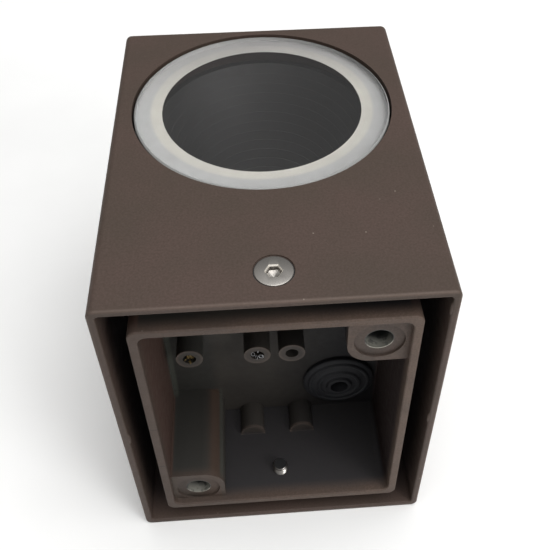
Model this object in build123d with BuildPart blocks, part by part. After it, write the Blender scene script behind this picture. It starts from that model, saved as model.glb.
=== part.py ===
"""Up and down wall light: a die-cast cube housing over a wall base.

Millimetres. The origin lies in the wall plane, midway between the two wall
fixing holes. +X is to the right as seen from the wall, +Y points from the wall
into the light, and +Z is up.
"""

import os
from math import hypot

from build123d import *

os.makedirs("parts", exist_ok=True)

# ---------------------------------------------------------------- dimensions

# Housing shell
housing_width = 110.0
housing_depth = 150.0
housing_height = 134.0
skirt_wall = 2.5               # wall of the skirt that hides the wall base
chamber_wall = 4.5             # thicker side, top and bottom walls of the sealed chamber
front_wall = 3.0
housing_edge_radius = 2.6
housing_rim_radius = 0.7
post_radius = 4.0
post_inset = 7.0               # post axis in from the outer faces of the housing

# Wall base, and the shadow gaps that leave it clear of the skirt
side_gap = 7.5
upper_gap = 8.0
lower_gap = 9.0
base_depth = 44.0
base_wall = 3.0
base_floor = 3.0
base_corner_radius = 3.2
base_pocket_radius = 3.0
base_rim_radius = 0.6

# Wall fixing columns in two corners of the base's pocket
fixing_side_inset = 9.7        # hole's axis in from the pocket's side wall
fixing_upper_inset = 11.2      # upper hole's axis down from the pocket's top
fixing_lower_inset = 7.2       # lower hole's axis up from the pocket's bottom
fixing_hole_radius = 4.5
fixing_seat_radius = 8.25
fixing_seat_depth = 0.8
column_reach = 10.2            # from the hole's axis to the column's free faces
column_recess = 2.5            # column face below the base's rim
column_corner_radius = 8.0

# Screw bosses on the base's floor, for the terminal block and the earth screw
boss_radius = 5.0
boss_height = 11.0
boss_hole_radius = 2.5
boss_rise = 1.0                # bosses above the middle of the housing
boss_side_inset = 10.0         # first boss in from the pocket's side wall
terminal_boss_spacing = 25.25
earth_boss_spacing = 13.0      # from the second terminal boss

# Blind half-round bosses along the base's lower wall, for the cable clamp
clamp_boss_radius = 5.0
clamp_boss_height = 11.7
clamp_boss_spacing = 20.5
clamp_boss_shift = -0.25       # pair's middle from the base's middle
clamp_hole_depth = 10.0
clamp_hole_rise = 2.6          # hole axis above the lower wall's inner face

# Cable grommet, low in the corner beside the lower wall
grommet_side_inset = 16.0
grommet_lower_inset = 19.5
grommet_hole_radius = 12.0
grommet_flange_radius = 14.6
grommet_back_height = 4.6
grommet_front_height = 2.4
grommet_cone_radius = 10.6
grommet_flange_edge = 2.0
grommet_bead = 1.2
grommet_skin = 1.5
grommet_cell = 4.0             # hollow round the cable, past its radius
cable_radius = 3.5

# Cover screws, M6 countersunk with a hexagon socket
screw_y = 12.5
screw_length = 18.0
screw_radius = 2.93
screw_head_radius = 6.0
screw_head_edge = 0.35
screw_head_bevel = 0.3
screw_head_sink = 0.1          # head below the housing's face
screw_socket_across_flats = 4.0
screw_socket_depth = 2.3
screw_tip_chamfer = 0.4
screw_hole_radius = 3.0        # threaded hole in the base
screw_clear_radius = 3.3       # clearance hole in the housing
screw_recess_gap = 0.5         # ring of shadow round the head
screw_boss_radius = 6.0
screw_boss_gap = 0.3           # housing boss to base
cup_to_head = 0.07             # radial gap, sealing cup to screw head
cup_wall = 0.33                # sealing cup, measured radially
cup_depth = 2.85

# Glasses, centred over the chamber
glass_margin = 1.6             # glass in from the nearest inner face of the chamber
glass_thickness = 5.0
glass_bevel = 0.9
glass_recess = 0.25            # glass below the housing's face
glass_seal_thickness = 1.0
glass_side_gap = 0.6
glass_seat_width = 5.5
glass_seat_thickness = 5.0
glass_ring_width = 2.9         # wall of the ring of housing round each glass
seal_gap = 0.05

# Anti-glare baffles
baffle_flange_thickness = 2.0
baffle_flange_overlap = 1.0    # flange past the glass
baffle_lip = 2.5               # baffle's mouth inside the glass seat
baffle_throat_radius = 16.4
baffle_wall = 1.4
baffle_screw_inset = 2.4       # baffle screws inside the glass's edge
baffle_screw_count = 3
baffle_screw_start = 90.0      # degrees

# Heat sink across the middle of the chamber, with a light source on each side
sink_thickness = 4.0
sink_rear_gap = 3.0            # heat sink to what stands on the base
sink_front_gap = 1.0
sink_side_gap = 0.8
sink_corner_radius = 2.0
fin_thickness = 1.6
fin_height = 9.0
fin_count = 3                  # on each side of the light source
fin_pitch = 4.5
fin_side_inset = 10.7          # outermost fin in from the edge of the plate
fin_end_inset = 15.0
lug_reach = 8.0
lug_width = 11.0
lug_height = 9.0
lug_end_inset = 11.0           # lugs in from the ends of the heat sink
lug_screw_inset = 4.2
board_radius = 17.5
board_thickness = 1.6
chip_radius = 6.5
chip_thickness = 1.1
chip_bevel = 0.3
board_screw_circle = 12.5
board_to_baffle = 0.4

# Sealing frame behind the chamber
gasket_thickness = 1.2
frame_thickness = 1.6
frame_side_gap = 0.5
frame_corner_radius = 1.5
frame_band = 3.2               # band of base rim that the frame covers
frame_gasket_thickness = 1.0
frame_gasket_width = 1.6

# Driver and its thermal pad, on the front of the base above the grommet
driver_width = 28.0
driver_depth = 16.0
driver_side_inset = 2.0        # driver in from the pocket's side wall
driver_to_grommet = 2.9
driver_to_baffle = 3.4
driver_corner_radius = 2.0
driver_edge_radius = 1.2
pad_thickness = 1.0
pad_inset = 1.5

# Terminal block
block_height = 16.0
block_depth = 15.0
block_overhang = 4.5           # block past its fixing screws
block_corner_radius = 1.2
block_screw_sink = 1.0         # screw heads below the block's face
block_poles = 3
pole_width = 4.4
pole_depth = 8.0
pole_height = 11.0
pole_edge_radius = 0.6
pole_bore_radius = 1.5
pole_bore_wall = 1.0
pole_screw_radius = 1.45
pole_screw_length = 3.7
pole_screw_rise = 0.4          # screw above the clamp's face when it is tight
pole_screw_slot = (0.5, 0.9)   # width, depth
terminal_fit = 0.06

# Earth screw
earth_washer_thickness = 1.0
earth_screw_length = 9.0

# Cable clamp
clamp_bar_height = 9.0
clamp_bar_drop = 2.2           # bar below its screws' axis
clamp_bar_thickness = 3.4
clamp_bar_overhang = 5.0
clamp_arch_radius = 3.6
clamp_arch_wall = 2.7

# Small screws: shank radius, length, head radius and head height
m3_screw = (1.42, 6.0, 2.75, 1.9)
m4_screw = (1.92, 9.0, 3.5, 2.4)
m5_screw = (2.45, 24.0, 4.4, 3.0)
clamp_screw = (1.42, 11.0, 2.75, 1.9)
thread_clearance = 0.08        # screw shank to threaded hole
through_clearance = 0.3        # screw shank to the piece that it clamps
slot_width = 0.22              # of a screw head's radius

# ------------------------------------------------------------ derived places

base_width = housing_width - 2 * (skirt_wall + side_gap)
base_height = housing_height - 2 * skirt_wall - upper_gap - lower_gap
pocket_width = base_width - 2 * base_wall
pocket_height = base_height - 2 * base_wall
pocket_side = pocket_width / 2
fixing_x = pocket_side - fixing_side_inset
fixing_z = (pocket_height - fixing_upper_inset - fixing_lower_inset) / 2
pocket_bottom = -fixing_z - fixing_lower_inset
pocket_top = fixing_z + fixing_upper_inset
base_bottom = pocket_bottom - base_wall
base_top = pocket_top + base_wall
base_middle_z = (base_bottom + base_top) / 2
housing_bottom = base_bottom - lower_gap - skirt_wall
housing_top = housing_bottom + housing_height
middle_z = (housing_bottom + housing_top) / 2
half_height = housing_height / 2
floor_back = base_depth - base_floor
frame_back = base_depth + gasket_thickness
frame_front = frame_back + frame_thickness
chamber_back = frame_front + frame_gasket_thickness
chamber_front = housing_depth - front_wall
chamber_length = chamber_front - chamber_back
glass_y = (chamber_front + chamber_back) / 2
glass_radius = min(chamber_length, housing_width - 2 * chamber_wall) / 2 - glass_margin
glass_seat_radius = glass_radius - glass_seat_width
glass_face_depth = glass_recess + glass_thickness
seat_depth = glass_face_depth + glass_seal_thickness
flange_depth = seat_depth + glass_seat_thickness
baffle_screw_circle = glass_radius - baffle_screw_inset
baffle_mouth_radius = glass_seat_radius - baffle_lip
boss_z = middle_z + boss_rise
first_boss_x = boss_side_inset - pocket_side
terminal_boss_x = (first_boss_x, first_boss_x + terminal_boss_spacing)
earth_boss_x = terminal_boss_x[1] + earth_boss_spacing
clamp_boss_x = [clamp_boss_shift + side * clamp_boss_spacing / 2 for side in (-1, 1)]
grommet_x = pocket_side - grommet_side_inset
grommet_z = pocket_bottom + grommet_lower_inset
driver_back = base_depth + pad_thickness
driver_front = driver_back + driver_depth
driver_x = pocket_side - driver_side_inset - driver_width / 2
sink_rear_y = max(driver_front, base_depth + block_depth) + sink_rear_gap
sink_front_y = chamber_front - sink_front_gap
lug_y = (sink_rear_y + lug_end_inset, sink_front_y - lug_end_inset)


def pan_screw(shank, plane, label):
    """Make one pan-head screw whose head seats on the plane and points along it."""
    radius, length, head_radius, head_height = shank
    with BuildPart(plane) as screw:
        Cylinder(head_radius, head_height, align=(Align.CENTER, Align.CENTER, Align.MIN))
        fillet(screw.edges().group_by(Axis(plane.origin, plane.z_dir))[-1], head_height * 0.45)
        Cylinder(radius, length, align=(Align.CENTER, Align.CENTER, Align.MAX))
        with BuildSketch(plane.offset(head_height)):
            Rectangle(head_radius * 1.3, head_radius * slot_width)
            Rectangle(head_radius * slot_width, head_radius * 1.3)
        extrude(amount=-head_height * 0.55, mode=Mode.SUBTRACT)
    screw.part.label = label
    return screw.part


def write_piece(piece, name):
    """Label a piece and write it to its own file."""
    piece.label = name
    export_step(piece, f"parts/{name}.step")


def flipped(piece):
    """Turn an upper piece half round the Y axis, to make its lower twin."""
    return piece.rotate(Axis((0, 0, middle_z), (0, 1, 0)), 180)


# ------------------------------------------------------------------- housing

ring_radius = glass_radius + glass_side_gap + glass_ring_width
recess_radius = screw_head_radius + screw_recess_gap
cone_top = -screw_head_sink - screw_head_edge
post_x = housing_width / 2 - post_inset
post_z = half_height - post_inset
post_places = [(x, z) for x in (-post_x, post_x) for z in (-post_z, post_z)]
lug_x = housing_width / 2 - chamber_wall - lug_reach / 2
lug_top = middle_z - sink_thickness / 2
lug_screw_x = housing_width / 2 - chamber_wall - lug_screw_inset

with BuildPart() as housing:
    with BuildSketch(Plane.XZ.offset(-housing_depth)):
        with Locations((0, middle_z)):
            RectangleRounded(housing_width, housing_height, housing_edge_radius)
    extrude(amount=housing_depth)
    fillet(housing.faces().sort_by(Axis.Y)[-1].edges(), housing_edge_radius * 0.6)
    with BuildSketch(Plane.XZ):
        with Locations((0, middle_z)):
            RectangleRounded(
                housing_width - 2 * skirt_wall,
                housing_height - 2 * skirt_wall,
                housing_edge_radius * 0.5,
            )
    extrude(amount=-chamber_back, mode=Mode.SUBTRACT)
    with BuildSketch(Plane.XZ.offset(-chamber_back)):
        with Locations((0, middle_z)):
            RectangleRounded(
                housing_width - 2 * chamber_wall,
                housing_height - 2 * chamber_wall,
                chamber_wall,
            )
    extrude(amount=-(chamber_front - chamber_back), mode=Mode.SUBTRACT)
    fillet(housing.faces().sort_by(Axis.Y)[0].edges(), housing_rim_radius)
    # Corner posts that take the sealing frame's screws
    with BuildSketch(Plane.XZ.offset(-chamber_back)):
        with Locations((0, middle_z)):
            with Locations(*post_places):
                Circle(post_radius)
    extrude(amount=-(chamber_front - chamber_back + front_wall / 2))
    # Thick ring round each glass, with the seat that carries it
    for side in (1, -1):
        ring_plane = Plane(
            origin=(0, glass_y, middle_z + side * (half_height - flange_depth)),
            x_dir=(side, 0, 0),
            z_dir=(0, 0, side),
        )
        with BuildSketch(ring_plane):
            Circle(ring_radius)
            with Locations((0, chamber_back - glass_y)):
                Rectangle(
                    housing_width,
                    ring_radius,
                    align=(Align.CENTER, Align.MAX),
                    mode=Mode.SUBTRACT,
                )
        extrude(amount=flange_depth - chamber_wall / 2)
    # Lugs on the side walls that carry the heat sink
    for side in (1, -1):
        for y in lug_y:
            with Locations((side * lug_x, y, lug_top - lug_height / 2)):
                Box(lug_reach + chamber_wall, lug_width, lug_height)
    # Bosses for the cover screws, reaching almost to the base
    with BuildSketch(Plane.XY.offset(base_top + screw_boss_gap)):
        with Locations((0, screw_y)):
            Circle(screw_boss_radius)
    extrude(amount=housing_top - skirt_wall / 2 - base_top - screw_boss_gap)
    with BuildSketch(Plane.XY.offset(base_bottom - screw_boss_gap)):
        with Locations((0, screw_y)):
            Circle(screw_boss_radius)
    extrude(amount=housing_bottom + skirt_wall / 2 - base_bottom + screw_boss_gap)
    # Glass rebates, light openings and baffle screw holes
    for side in (1, -1):
        face_plane = Plane(
            origin=(0, glass_y, middle_z + side * half_height),
            x_dir=(side, 0, 0),
            z_dir=(0, 0, side),
        )
        with BuildSketch(face_plane):
            Circle(glass_radius + glass_side_gap)
        extrude(amount=-seat_depth, mode=Mode.SUBTRACT)
        with BuildSketch(face_plane):
            Circle(glass_seat_radius)
        extrude(amount=-flange_depth, mode=Mode.SUBTRACT)
        with BuildSketch(face_plane.offset(-flange_depth)):
            with PolarLocations(baffle_screw_circle, baffle_screw_count, baffle_screw_start):
                Circle(m3_screw[0] + thread_clearance)
        extrude(amount=m3_screw[1] - baffle_flange_thickness, mode=Mode.SUBTRACT)
    # Countersunk screw holes, upper and lower
    for side in (1, -1):
        with BuildPart(mode=Mode.PRIVATE) as screw_hole:
            with BuildSketch(Plane.XZ):
                with BuildLine():
                    Polyline(
                        (0, skirt_wall),
                        (recess_radius, skirt_wall),
                        (recess_radius, cone_top),
                        (screw_clear_radius, cone_top - recess_radius + screw_clear_radius),
                        (screw_clear_radius, -screw_length),
                        (0, -screw_length),
                        close=True,
                    )
                make_face()
            revolve(axis=Axis.Z)
        placed = screw_hole.part if side > 0 else screw_hole.part.rotate(Axis.Y, 180)
        add(
            placed.moved(Location((0, screw_y, middle_z + side * half_height))),
            mode=Mode.SUBTRACT,
        )
    # Threaded holes in the posts and the lugs
    with BuildSketch(Plane.XZ.offset(-chamber_back)):
        with Locations((0, middle_z)):
            with Locations(*post_places):
                Circle(m4_screw[0] + thread_clearance)
    extrude(amount=-m4_screw[1], mode=Mode.SUBTRACT)
    with BuildSketch(Plane.XY.offset(lug_top)):
        with Locations(*[(side * lug_screw_x, y) for side in (1, -1) for y in lug_y]):
            Circle(m3_screw[0] + thread_clearance)
    extrude(amount=-m3_screw[1], mode=Mode.SUBTRACT)
write_piece(housing.part, "housing")

# ----------------------------------------------------------------- wall base

column_places = [(fixing_x, fixing_z, 1), (-fixing_x, -fixing_z, -1)]
boss_places = [(x, boss_z) for x in (*terminal_boss_x, earth_boss_x)]

with BuildPart() as wall_base:
    with BuildSketch(Plane.XZ):
        with Locations((0, base_middle_z)):
            RectangleRounded(base_width, base_height, base_corner_radius)
    extrude(amount=-base_depth)
    with BuildSketch(Plane.XZ):
        with Locations((0, base_middle_z)):
            RectangleRounded(pocket_width, pocket_height, base_pocket_radius)
    extrude(amount=-floor_back, mode=Mode.SUBTRACT)
    fillet(wall_base.faces().sort_by(Axis.Y)[0].edges(), base_rim_radius)
    # Columns round the wall fixing holes, each in a corner of the pocket
    for x, z, side in column_places:
        inner_x = x - side * column_reach
        inner_z = z - side * column_reach
        outer_x = side * (pocket_side + base_wall / 2)
        outer_z = (pocket_top if side > 0 else pocket_bottom) + side * base_wall / 2
        with BuildSketch(Plane.XZ.offset(-column_recess)):
            with BuildLine():
                corner = FilletPolyline(
                    (outer_x, inner_z),
                    (inner_x, inner_z),
                    (inner_x, outer_z),
                    radius=column_corner_radius,
                )
                Line(corner @ 1, (outer_x, outer_z))
                Line((outer_x, outer_z), corner @ 0)
            make_face()
        extrude(amount=-(floor_back - column_recess + base_floor / 2))
    # Bosses on the floor
    with BuildSketch(Plane.XZ.offset(-(floor_back - boss_height))):
        with Locations(*boss_places):
            Circle(boss_radius)
    extrude(amount=-(boss_height + base_floor / 2))
    # Half-round bosses along the lower wall
    with BuildSketch(Plane.XZ.offset(-(floor_back - clamp_boss_height))):
        with Locations(*[(x, pocket_bottom) for x in clamp_boss_x]):
            Circle(clamp_boss_radius)
        with Locations((0, pocket_bottom - base_wall / 2)):
            Rectangle(
                base_width,
                clamp_boss_radius * 2,
                align=(Align.CENTER, Align.MAX),
                mode=Mode.SUBTRACT,
            )
    extrude(amount=-(clamp_boss_height + base_floor / 2))
    # Holes
    with BuildSketch(Plane.XZ):
        with Locations(*[(x, z) for x, z, side in column_places]):
            Circle(fixing_hole_radius)
    extrude(amount=-base_depth, mode=Mode.SUBTRACT)
    with BuildSketch(Plane.XZ.offset(-column_recess)):
        with Locations(*[(x, z) for x, z, side in column_places]):
            Circle(fixing_seat_radius)
    extrude(amount=-fixing_seat_depth, mode=Mode.SUBTRACT)
    with BuildSketch(Plane.XZ.offset(-(floor_back - boss_height))):
        with Locations(*boss_places):
            Circle(boss_hole_radius)
    extrude(amount=-(boss_height + base_floor), mode=Mode.SUBTRACT)
    with BuildSketch(Plane.XZ.offset(-base_depth)):
        with Locations(*[(x, pocket_bottom + clamp_hole_rise) for x in clamp_boss_x]):
            Circle(clamp_screw[0] + thread_clearance)
    extrude(amount=clamp_hole_depth, mode=Mode.SUBTRACT)
    with BuildSketch(Plane.XZ.offset(-floor_back)):
        with Locations((grommet_x, grommet_z)):
            Circle(grommet_hole_radius)
    extrude(amount=-base_floor, mode=Mode.SUBTRACT)
    with BuildSketch(Plane.XY.offset(base_bottom)):
        with Locations((0, screw_y)):
            Circle(screw_hole_radius)
    extrude(amount=base_height, mode=Mode.SUBTRACT)
write_piece(wall_base.part, "wall_base")

# ------------------------------------------------------------- cable grommet

neck_radius = grommet_hole_radius - seal_gap
cell_radius = cable_radius + grommet_cell
front_radius = grommet_flange_radius - grommet_bead
grommet_front = base_floor + grommet_front_height
front_skin_back = grommet_front - grommet_skin * 2
back_skin_front = grommet_skin * 2 - grommet_back_height

with BuildPart() as cable_grommet:
    with BuildSketch(Plane.XY):
        with BuildLine():
            Polyline(
                (cable_radius, -grommet_back_height),
                (grommet_cone_radius, -grommet_back_height),
                (grommet_flange_radius, -grommet_flange_edge),
                (grommet_flange_radius, 0),
                (neck_radius, 0),
                (neck_radius, base_floor),
                (front_radius, base_floor),
                (front_radius - grommet_bead, grommet_front),
                (cable_radius, grommet_front),
                (cable_radius, front_skin_back),
                (cell_radius, front_skin_back),
                (cell_radius, back_skin_front),
                (cable_radius, back_skin_front),
                close=True,
            )
        make_face()
    revolve(axis=Axis.Y)
cable_grommet.part = cable_grommet.part.moved(Location((grommet_x, floor_back, grommet_z)))
write_piece(cable_grommet.part, "cable_grommet")

# ------------------------------------------------- cover screws and their cups

cup_top = cone_top - screw_head_sink

with BuildPart() as cover_screw:
    with BuildSketch(Plane.XZ):
        with BuildLine():
            Polyline(
                (0, -screw_head_sink),
                (screw_head_radius - screw_head_bevel, -screw_head_sink),
                (screw_head_radius, -screw_head_sink - screw_head_bevel * 0.7),
                (screw_head_radius, cone_top),
                (screw_radius, cone_top - screw_head_radius + screw_radius),
                (screw_radius, -screw_length + screw_tip_chamfer),
                (screw_radius - screw_tip_chamfer, -screw_length),
                (0, -screw_length),
                close=True,
            )
        make_face()
    revolve(axis=Axis.Z)
    with BuildSketch(Plane.XY.offset(-screw_head_sink)):
        RegularPolygon(screw_socket_across_flats / 2, 6, major_radius=False)
    extrude(amount=-screw_socket_depth, mode=Mode.SUBTRACT)

cup_inner = screw_head_radius + (cup_top - cone_top) + cup_to_head

with BuildPart() as sealing_cup:
    with BuildSketch(Plane.XZ):
        with BuildLine():
            Polyline(
                (cup_inner, cup_top),
                (cup_inner + cup_wall, cup_top),
                (cup_inner + cup_wall - cup_depth, cup_top - cup_depth),
                (cup_inner - cup_depth, cup_top - cup_depth),
                close=True,
            )
        make_face()
    revolve(axis=Axis.Z)

upper_place = Location((0, screw_y, housing_top))
for piece, name in ((cover_screw.part, "cover_screw"), (sealing_cup.part, "sealing_cup")):
    upper = piece.moved(upper_place)
    write_piece(upper, f"upper_{name}")
    write_piece(flipped(upper), f"lower_{name}")

# ---------------------------------------------- glasses, seals and baffles

upper_face = Plane(origin=(0, glass_y, housing_top), x_dir=(1, 0, 0), z_dir=(0, 0, 1))
upper_seat = upper_face.offset(-seat_depth)
upper_flange = upper_face.offset(-flange_depth)

with BuildPart() as glass:
    with BuildSketch(upper_face.offset(-glass_face_depth)):
        Circle(glass_radius)
    extrude(amount=glass_thickness)
    chamfer(glass.faces().sort_by(Axis.Z)[-1].edges(), glass_bevel)
write_piece(glass.part, "upper_glass")
write_piece(flipped(glass.part), "lower_glass")

with BuildPart() as glass_seal:
    with BuildSketch(upper_seat.offset(seal_gap)):
        Circle(glass_radius)
        Circle(glass_seat_radius, mode=Mode.SUBTRACT)
    extrude(amount=glass_seal_thickness - 2 * seal_gap)
write_piece(glass_seal.part, "upper_glass_seal")
write_piece(flipped(glass_seal.part), "lower_glass_seal")

board_top = middle_z + sink_thickness / 2 + board_thickness
throat_z = board_top + board_to_baffle
flange_radius = glass_radius + baffle_flange_overlap
mouth_z = housing_top - flange_depth

with BuildPart() as baffle:
    with BuildSketch(Plane.XZ):
        with BuildLine():
            Polyline(
                (baffle_throat_radius, throat_z),
                (baffle_throat_radius + baffle_wall, throat_z),
                (baffle_mouth_radius + baffle_wall, mouth_z - baffle_flange_thickness),
                (flange_radius, mouth_z - baffle_flange_thickness),
                (flange_radius, mouth_z),
                (baffle_mouth_radius, mouth_z),
                close=True,
            )
        make_face()
    revolve(axis=Axis.Z)
baffle.part = baffle.part.moved(Location((0, glass_y, 0)))
with BuildPart() as drilled_baffle:
    add(baffle.part)
    with BuildSketch(upper_flange):
        with PolarLocations(baffle_screw_circle, baffle_screw_count, baffle_screw_start):
            Circle(m3_screw[0] + through_clearance)
    extrude(amount=-baffle_flange_thickness, mode=Mode.SUBTRACT)
write_piece(drilled_baffle.part, "upper_baffle")
write_piece(flipped(drilled_baffle.part), "lower_baffle")

under_flange = Plane(
    origin=(0, glass_y, mouth_z - baffle_flange_thickness),
    x_dir=(1, 0, 0),
    z_dir=(0, 0, -1),
)
screws = []
for index in range(baffle_screw_count):
    angle = -baffle_screw_start - index * 360 / baffle_screw_count
    seat = under_flange.location * Location((0, 0, 0), (0, 0, angle))
    seat = seat * Location((baffle_screw_circle, 0, 0))
    screws.append(pan_screw(m3_screw, Plane(seat), "baffle_screw"))
baffle_screws = Compound(children=screws)
write_piece(baffle_screws, "upper_baffle_screws")
write_piece(flipped(baffle_screws), "lower_baffle_screws")

# ------------------------------------------------ heat sink and light sources

sink_half_width = housing_width / 2 - chamber_wall - sink_side_gap
sink_length = sink_front_y - sink_rear_y
sink_middle_y = (sink_front_y + sink_rear_y) / 2
sink_top = middle_z + sink_thickness / 2
fin_length = sink_length - 2 * fin_end_inset
fin_x = [sink_half_width - fin_side_inset - index * fin_pitch for index in range(fin_count)]
lug_screw_places = [(side * lug_screw_x, y) for side in (1, -1) for y in lug_y]
board_screw_places = [(side * board_screw_circle, glass_y) for side in (1, -1)]

with BuildPart() as heat_sink:
    with Locations((0, sink_middle_y, middle_z)):
        Box(2 * sink_half_width, sink_length, sink_thickness)
    fillet(heat_sink.edges().filter_by(Axis.Z), sink_corner_radius)
    fin_places = [(side * x, glass_y) for x in fin_x for side in (1, -1)]
    for side in (1, -1):
        with BuildSketch(Plane.XY.offset(middle_z + side * sink_thickness / 2)):
            with Locations(*fin_places):
                Rectangle(fin_thickness, fin_length)
        extrude(amount=side * fin_height)
    with BuildSketch(Plane.XY.offset(middle_z - sink_thickness / 2)):
        with Locations(*lug_screw_places):
            Circle(m3_screw[0] + through_clearance)
        with Locations(*board_screw_places):
            Circle(m3_screw[0] + thread_clearance)
    extrude(amount=sink_thickness, mode=Mode.SUBTRACT)
write_piece(heat_sink.part, "heat_sink")

sink_screws = Compound(
    children=[
        pan_screw(m3_screw, Plane((x, y, sink_top), (1, 0, 0), (0, 0, 1)), "sink_screw")
        for x, y in lug_screw_places
    ]
)
write_piece(sink_screws, "heat_sink_screws")

with BuildPart() as led_board:
    with BuildSketch(Plane.XY.offset(sink_top)):
        with Locations((0, glass_y)):
            Circle(board_radius)
        with Locations(*board_screw_places):
            Circle(m3_screw[0] + through_clearance, mode=Mode.SUBTRACT)
    extrude(amount=board_thickness)
write_piece(led_board.part, "upper_led_board")
write_piece(flipped(led_board.part), "lower_led_board")

with BuildPart() as led_chip:
    with BuildSketch(Plane.XY.offset(board_top)):
        with Locations((0, glass_y)):
            Circle(chip_radius)
    extrude(amount=chip_thickness)
    chamfer(led_chip.faces().sort_by(Axis.Z)[-1].edges(), chip_bevel)
write_piece(led_chip.part, "upper_led_chip")
write_piece(flipped(led_chip.part), "lower_led_chip")

board_screw = (m3_screw[0], board_thickness + sink_thickness * 0.45, m3_screw[2], m3_screw[3])
board_screws = Compound(
    children=[
        pan_screw(board_screw, Plane((x, y, board_top), (1, 0, 0), (0, 0, 1)), "board_screw")
        for x, y in board_screw_places
    ]
)
write_piece(board_screws, "upper_led_screws")
write_piece(flipped(board_screws), "lower_led_screws")

# ------------------------------------------------------------- sealing frame

skirt_inner_width = housing_width - 2 * skirt_wall
skirt_inner_height = housing_height - 2 * skirt_wall
frame_width = skirt_inner_width - 2 * frame_side_gap
frame_height = skirt_inner_height - 2 * frame_side_gap

with BuildPart() as sealing_frame:
    with BuildSketch(Plane.XZ.offset(-frame_back)):
        with Locations((0, middle_z)):
            RectangleRounded(frame_width, frame_height, frame_corner_radius)
        with Locations((0, base_middle_z)):
            RectangleRounded(
                base_width - 2 * frame_band,
                base_height - 2 * frame_band,
                base_pocket_radius,
                mode=Mode.SUBTRACT,
            )
        with Locations((0, middle_z)):
            with Locations(*post_places):
                Circle(m4_screw[0] + through_clearance, mode=Mode.SUBTRACT)
    extrude(amount=-frame_thickness)
write_piece(sealing_frame.part, "sealing_frame")

frame_screws = Compound(
    children=[
        pan_screw(
            m4_screw,
            Plane((x, frame_back, middle_z + z), (1, 0, 0), (0, -1, 0)),
            "frame_screw",
        )
        for x, z in post_places
    ]
)
write_piece(frame_screws, "sealing_frame_screws")

with BuildPart() as frame_gasket:
    with BuildSketch(Plane.XZ.offset(-frame_front - seal_gap)):
        with Locations((0, middle_z)):
            RectangleRounded(frame_width, frame_height, frame_corner_radius)
            RectangleRounded(
                frame_width - 2 * frame_gasket_width,
                frame_height - 2 * frame_gasket_width,
                frame_corner_radius * 0.7,
                mode=Mode.SUBTRACT,
            )
    extrude(amount=-(frame_gasket_thickness - 2 * seal_gap))
write_piece(frame_gasket.part, "sealing_frame_gasket")

with BuildPart() as base_gasket:
    with BuildSketch(Plane.XZ.offset(-base_depth - seal_gap)):
        with Locations((0, base_middle_z)):
            RectangleRounded(base_width, base_height, base_corner_radius)
            RectangleRounded(
                base_width - 2 * frame_band,
                base_height - 2 * frame_band,
                base_pocket_radius,
                mode=Mode.SUBTRACT,
            )
    extrude(amount=-(gasket_thickness - 2 * seal_gap))
write_piece(base_gasket.part, "base_gasket")

# ------------------------------------------------------------ driver and pad

driver_bottom = grommet_z + grommet_flange_radius + driver_to_grommet
# The driver is as tall as the widening baffle above it leaves room for
driver_corner = hypot(driver_x - driver_width / 2, glass_y - driver_front)
room = driver_corner - driver_to_baffle - baffle_throat_radius - baffle_wall
baffle_rise = (mouth_z - baffle_flange_thickness - throat_z) / (
    baffle_mouth_radius - baffle_throat_radius
)
driver_top = throat_z + room * baffle_rise
driver_height = driver_top - driver_bottom
driver_z = (driver_top + driver_bottom) / 2

with BuildPart() as driver_pad:
    with BuildSketch(Plane.XZ.offset(-base_depth - seal_gap)):
        with Locations((driver_x, driver_z)):
            Rectangle(driver_width - 2 * pad_inset, driver_height - 2 * pad_inset)
    extrude(amount=-(pad_thickness - 2 * seal_gap))
write_piece(driver_pad.part, "driver_pad")

with BuildPart() as driver:
    with BuildSketch(Plane.XZ.offset(-driver_back)):
        with Locations((driver_x, driver_z)):
            RectangleRounded(driver_width, driver_height, driver_corner_radius)
    extrude(amount=-driver_depth)
    fillet(driver.faces().sort_by(Axis.Y)[-1].edges(), driver_edge_radius)
write_piece(driver.part, "driver")

# ------------------------------------------------------------ terminal block

block_left = terminal_boss_x[0] - block_overhang
block_right = terminal_boss_x[1] + block_overhang
block_middle = (block_left + block_right) / 2
block_length = block_right - block_left
pole_gap = (terminal_boss_x[1] - terminal_boss_x[0] - 2 * m5_screw[2]) / block_poles
pole_x = [block_middle + (index - (block_poles - 1) / 2) * pole_gap for index in range(block_poles)]
pole_floor = base_depth + (block_depth - pole_depth) / 2
pole_screw_z = [boss_z + side * pole_height / 4 for side in (1, -1)]

with BuildPart() as terminal_block:
    with BuildSketch(Plane.XZ.offset(-base_depth)):
        with Locations((block_middle, boss_z)):
            RectangleRounded(block_length, block_height, block_corner_radius)
        with Locations(*[(x, boss_z) for x in terminal_boss_x]):
            Circle(m5_screw[0] + through_clearance, mode=Mode.SUBTRACT)
    extrude(amount=-block_depth)
    # Recesses for the fixing screws' heads
    with BuildSketch(Plane.XZ.offset(-base_depth - block_depth)):
        with Locations(*[(x, boss_z) for x in terminal_boss_x]):
            Circle(m5_screw[2] + through_clearance)
    extrude(amount=m5_screw[3] + block_screw_sink, mode=Mode.SUBTRACT)
    # Cells for the brass clamps, open above and below for the wires
    for x in pole_x:
        with Locations((x, pole_floor + pole_depth / 2, boss_z)):
            Box(
                pole_width + 2 * terminal_fit,
                pole_depth + 2 * terminal_fit,
                block_height * 2,
                mode=Mode.SUBTRACT,
            )
    # Shafts that a screwdriver reaches the clamp screws through
    with BuildSketch(Plane.XZ.offset(-base_depth - block_depth)):
        with Locations(*[(x, z) for x in pole_x for z in pole_screw_z]):
            Circle(pole_screw_radius + through_clearance)
    extrude(amount=block_depth / 2, mode=Mode.SUBTRACT)
write_piece(terminal_block.part, "terminal_block")

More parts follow.
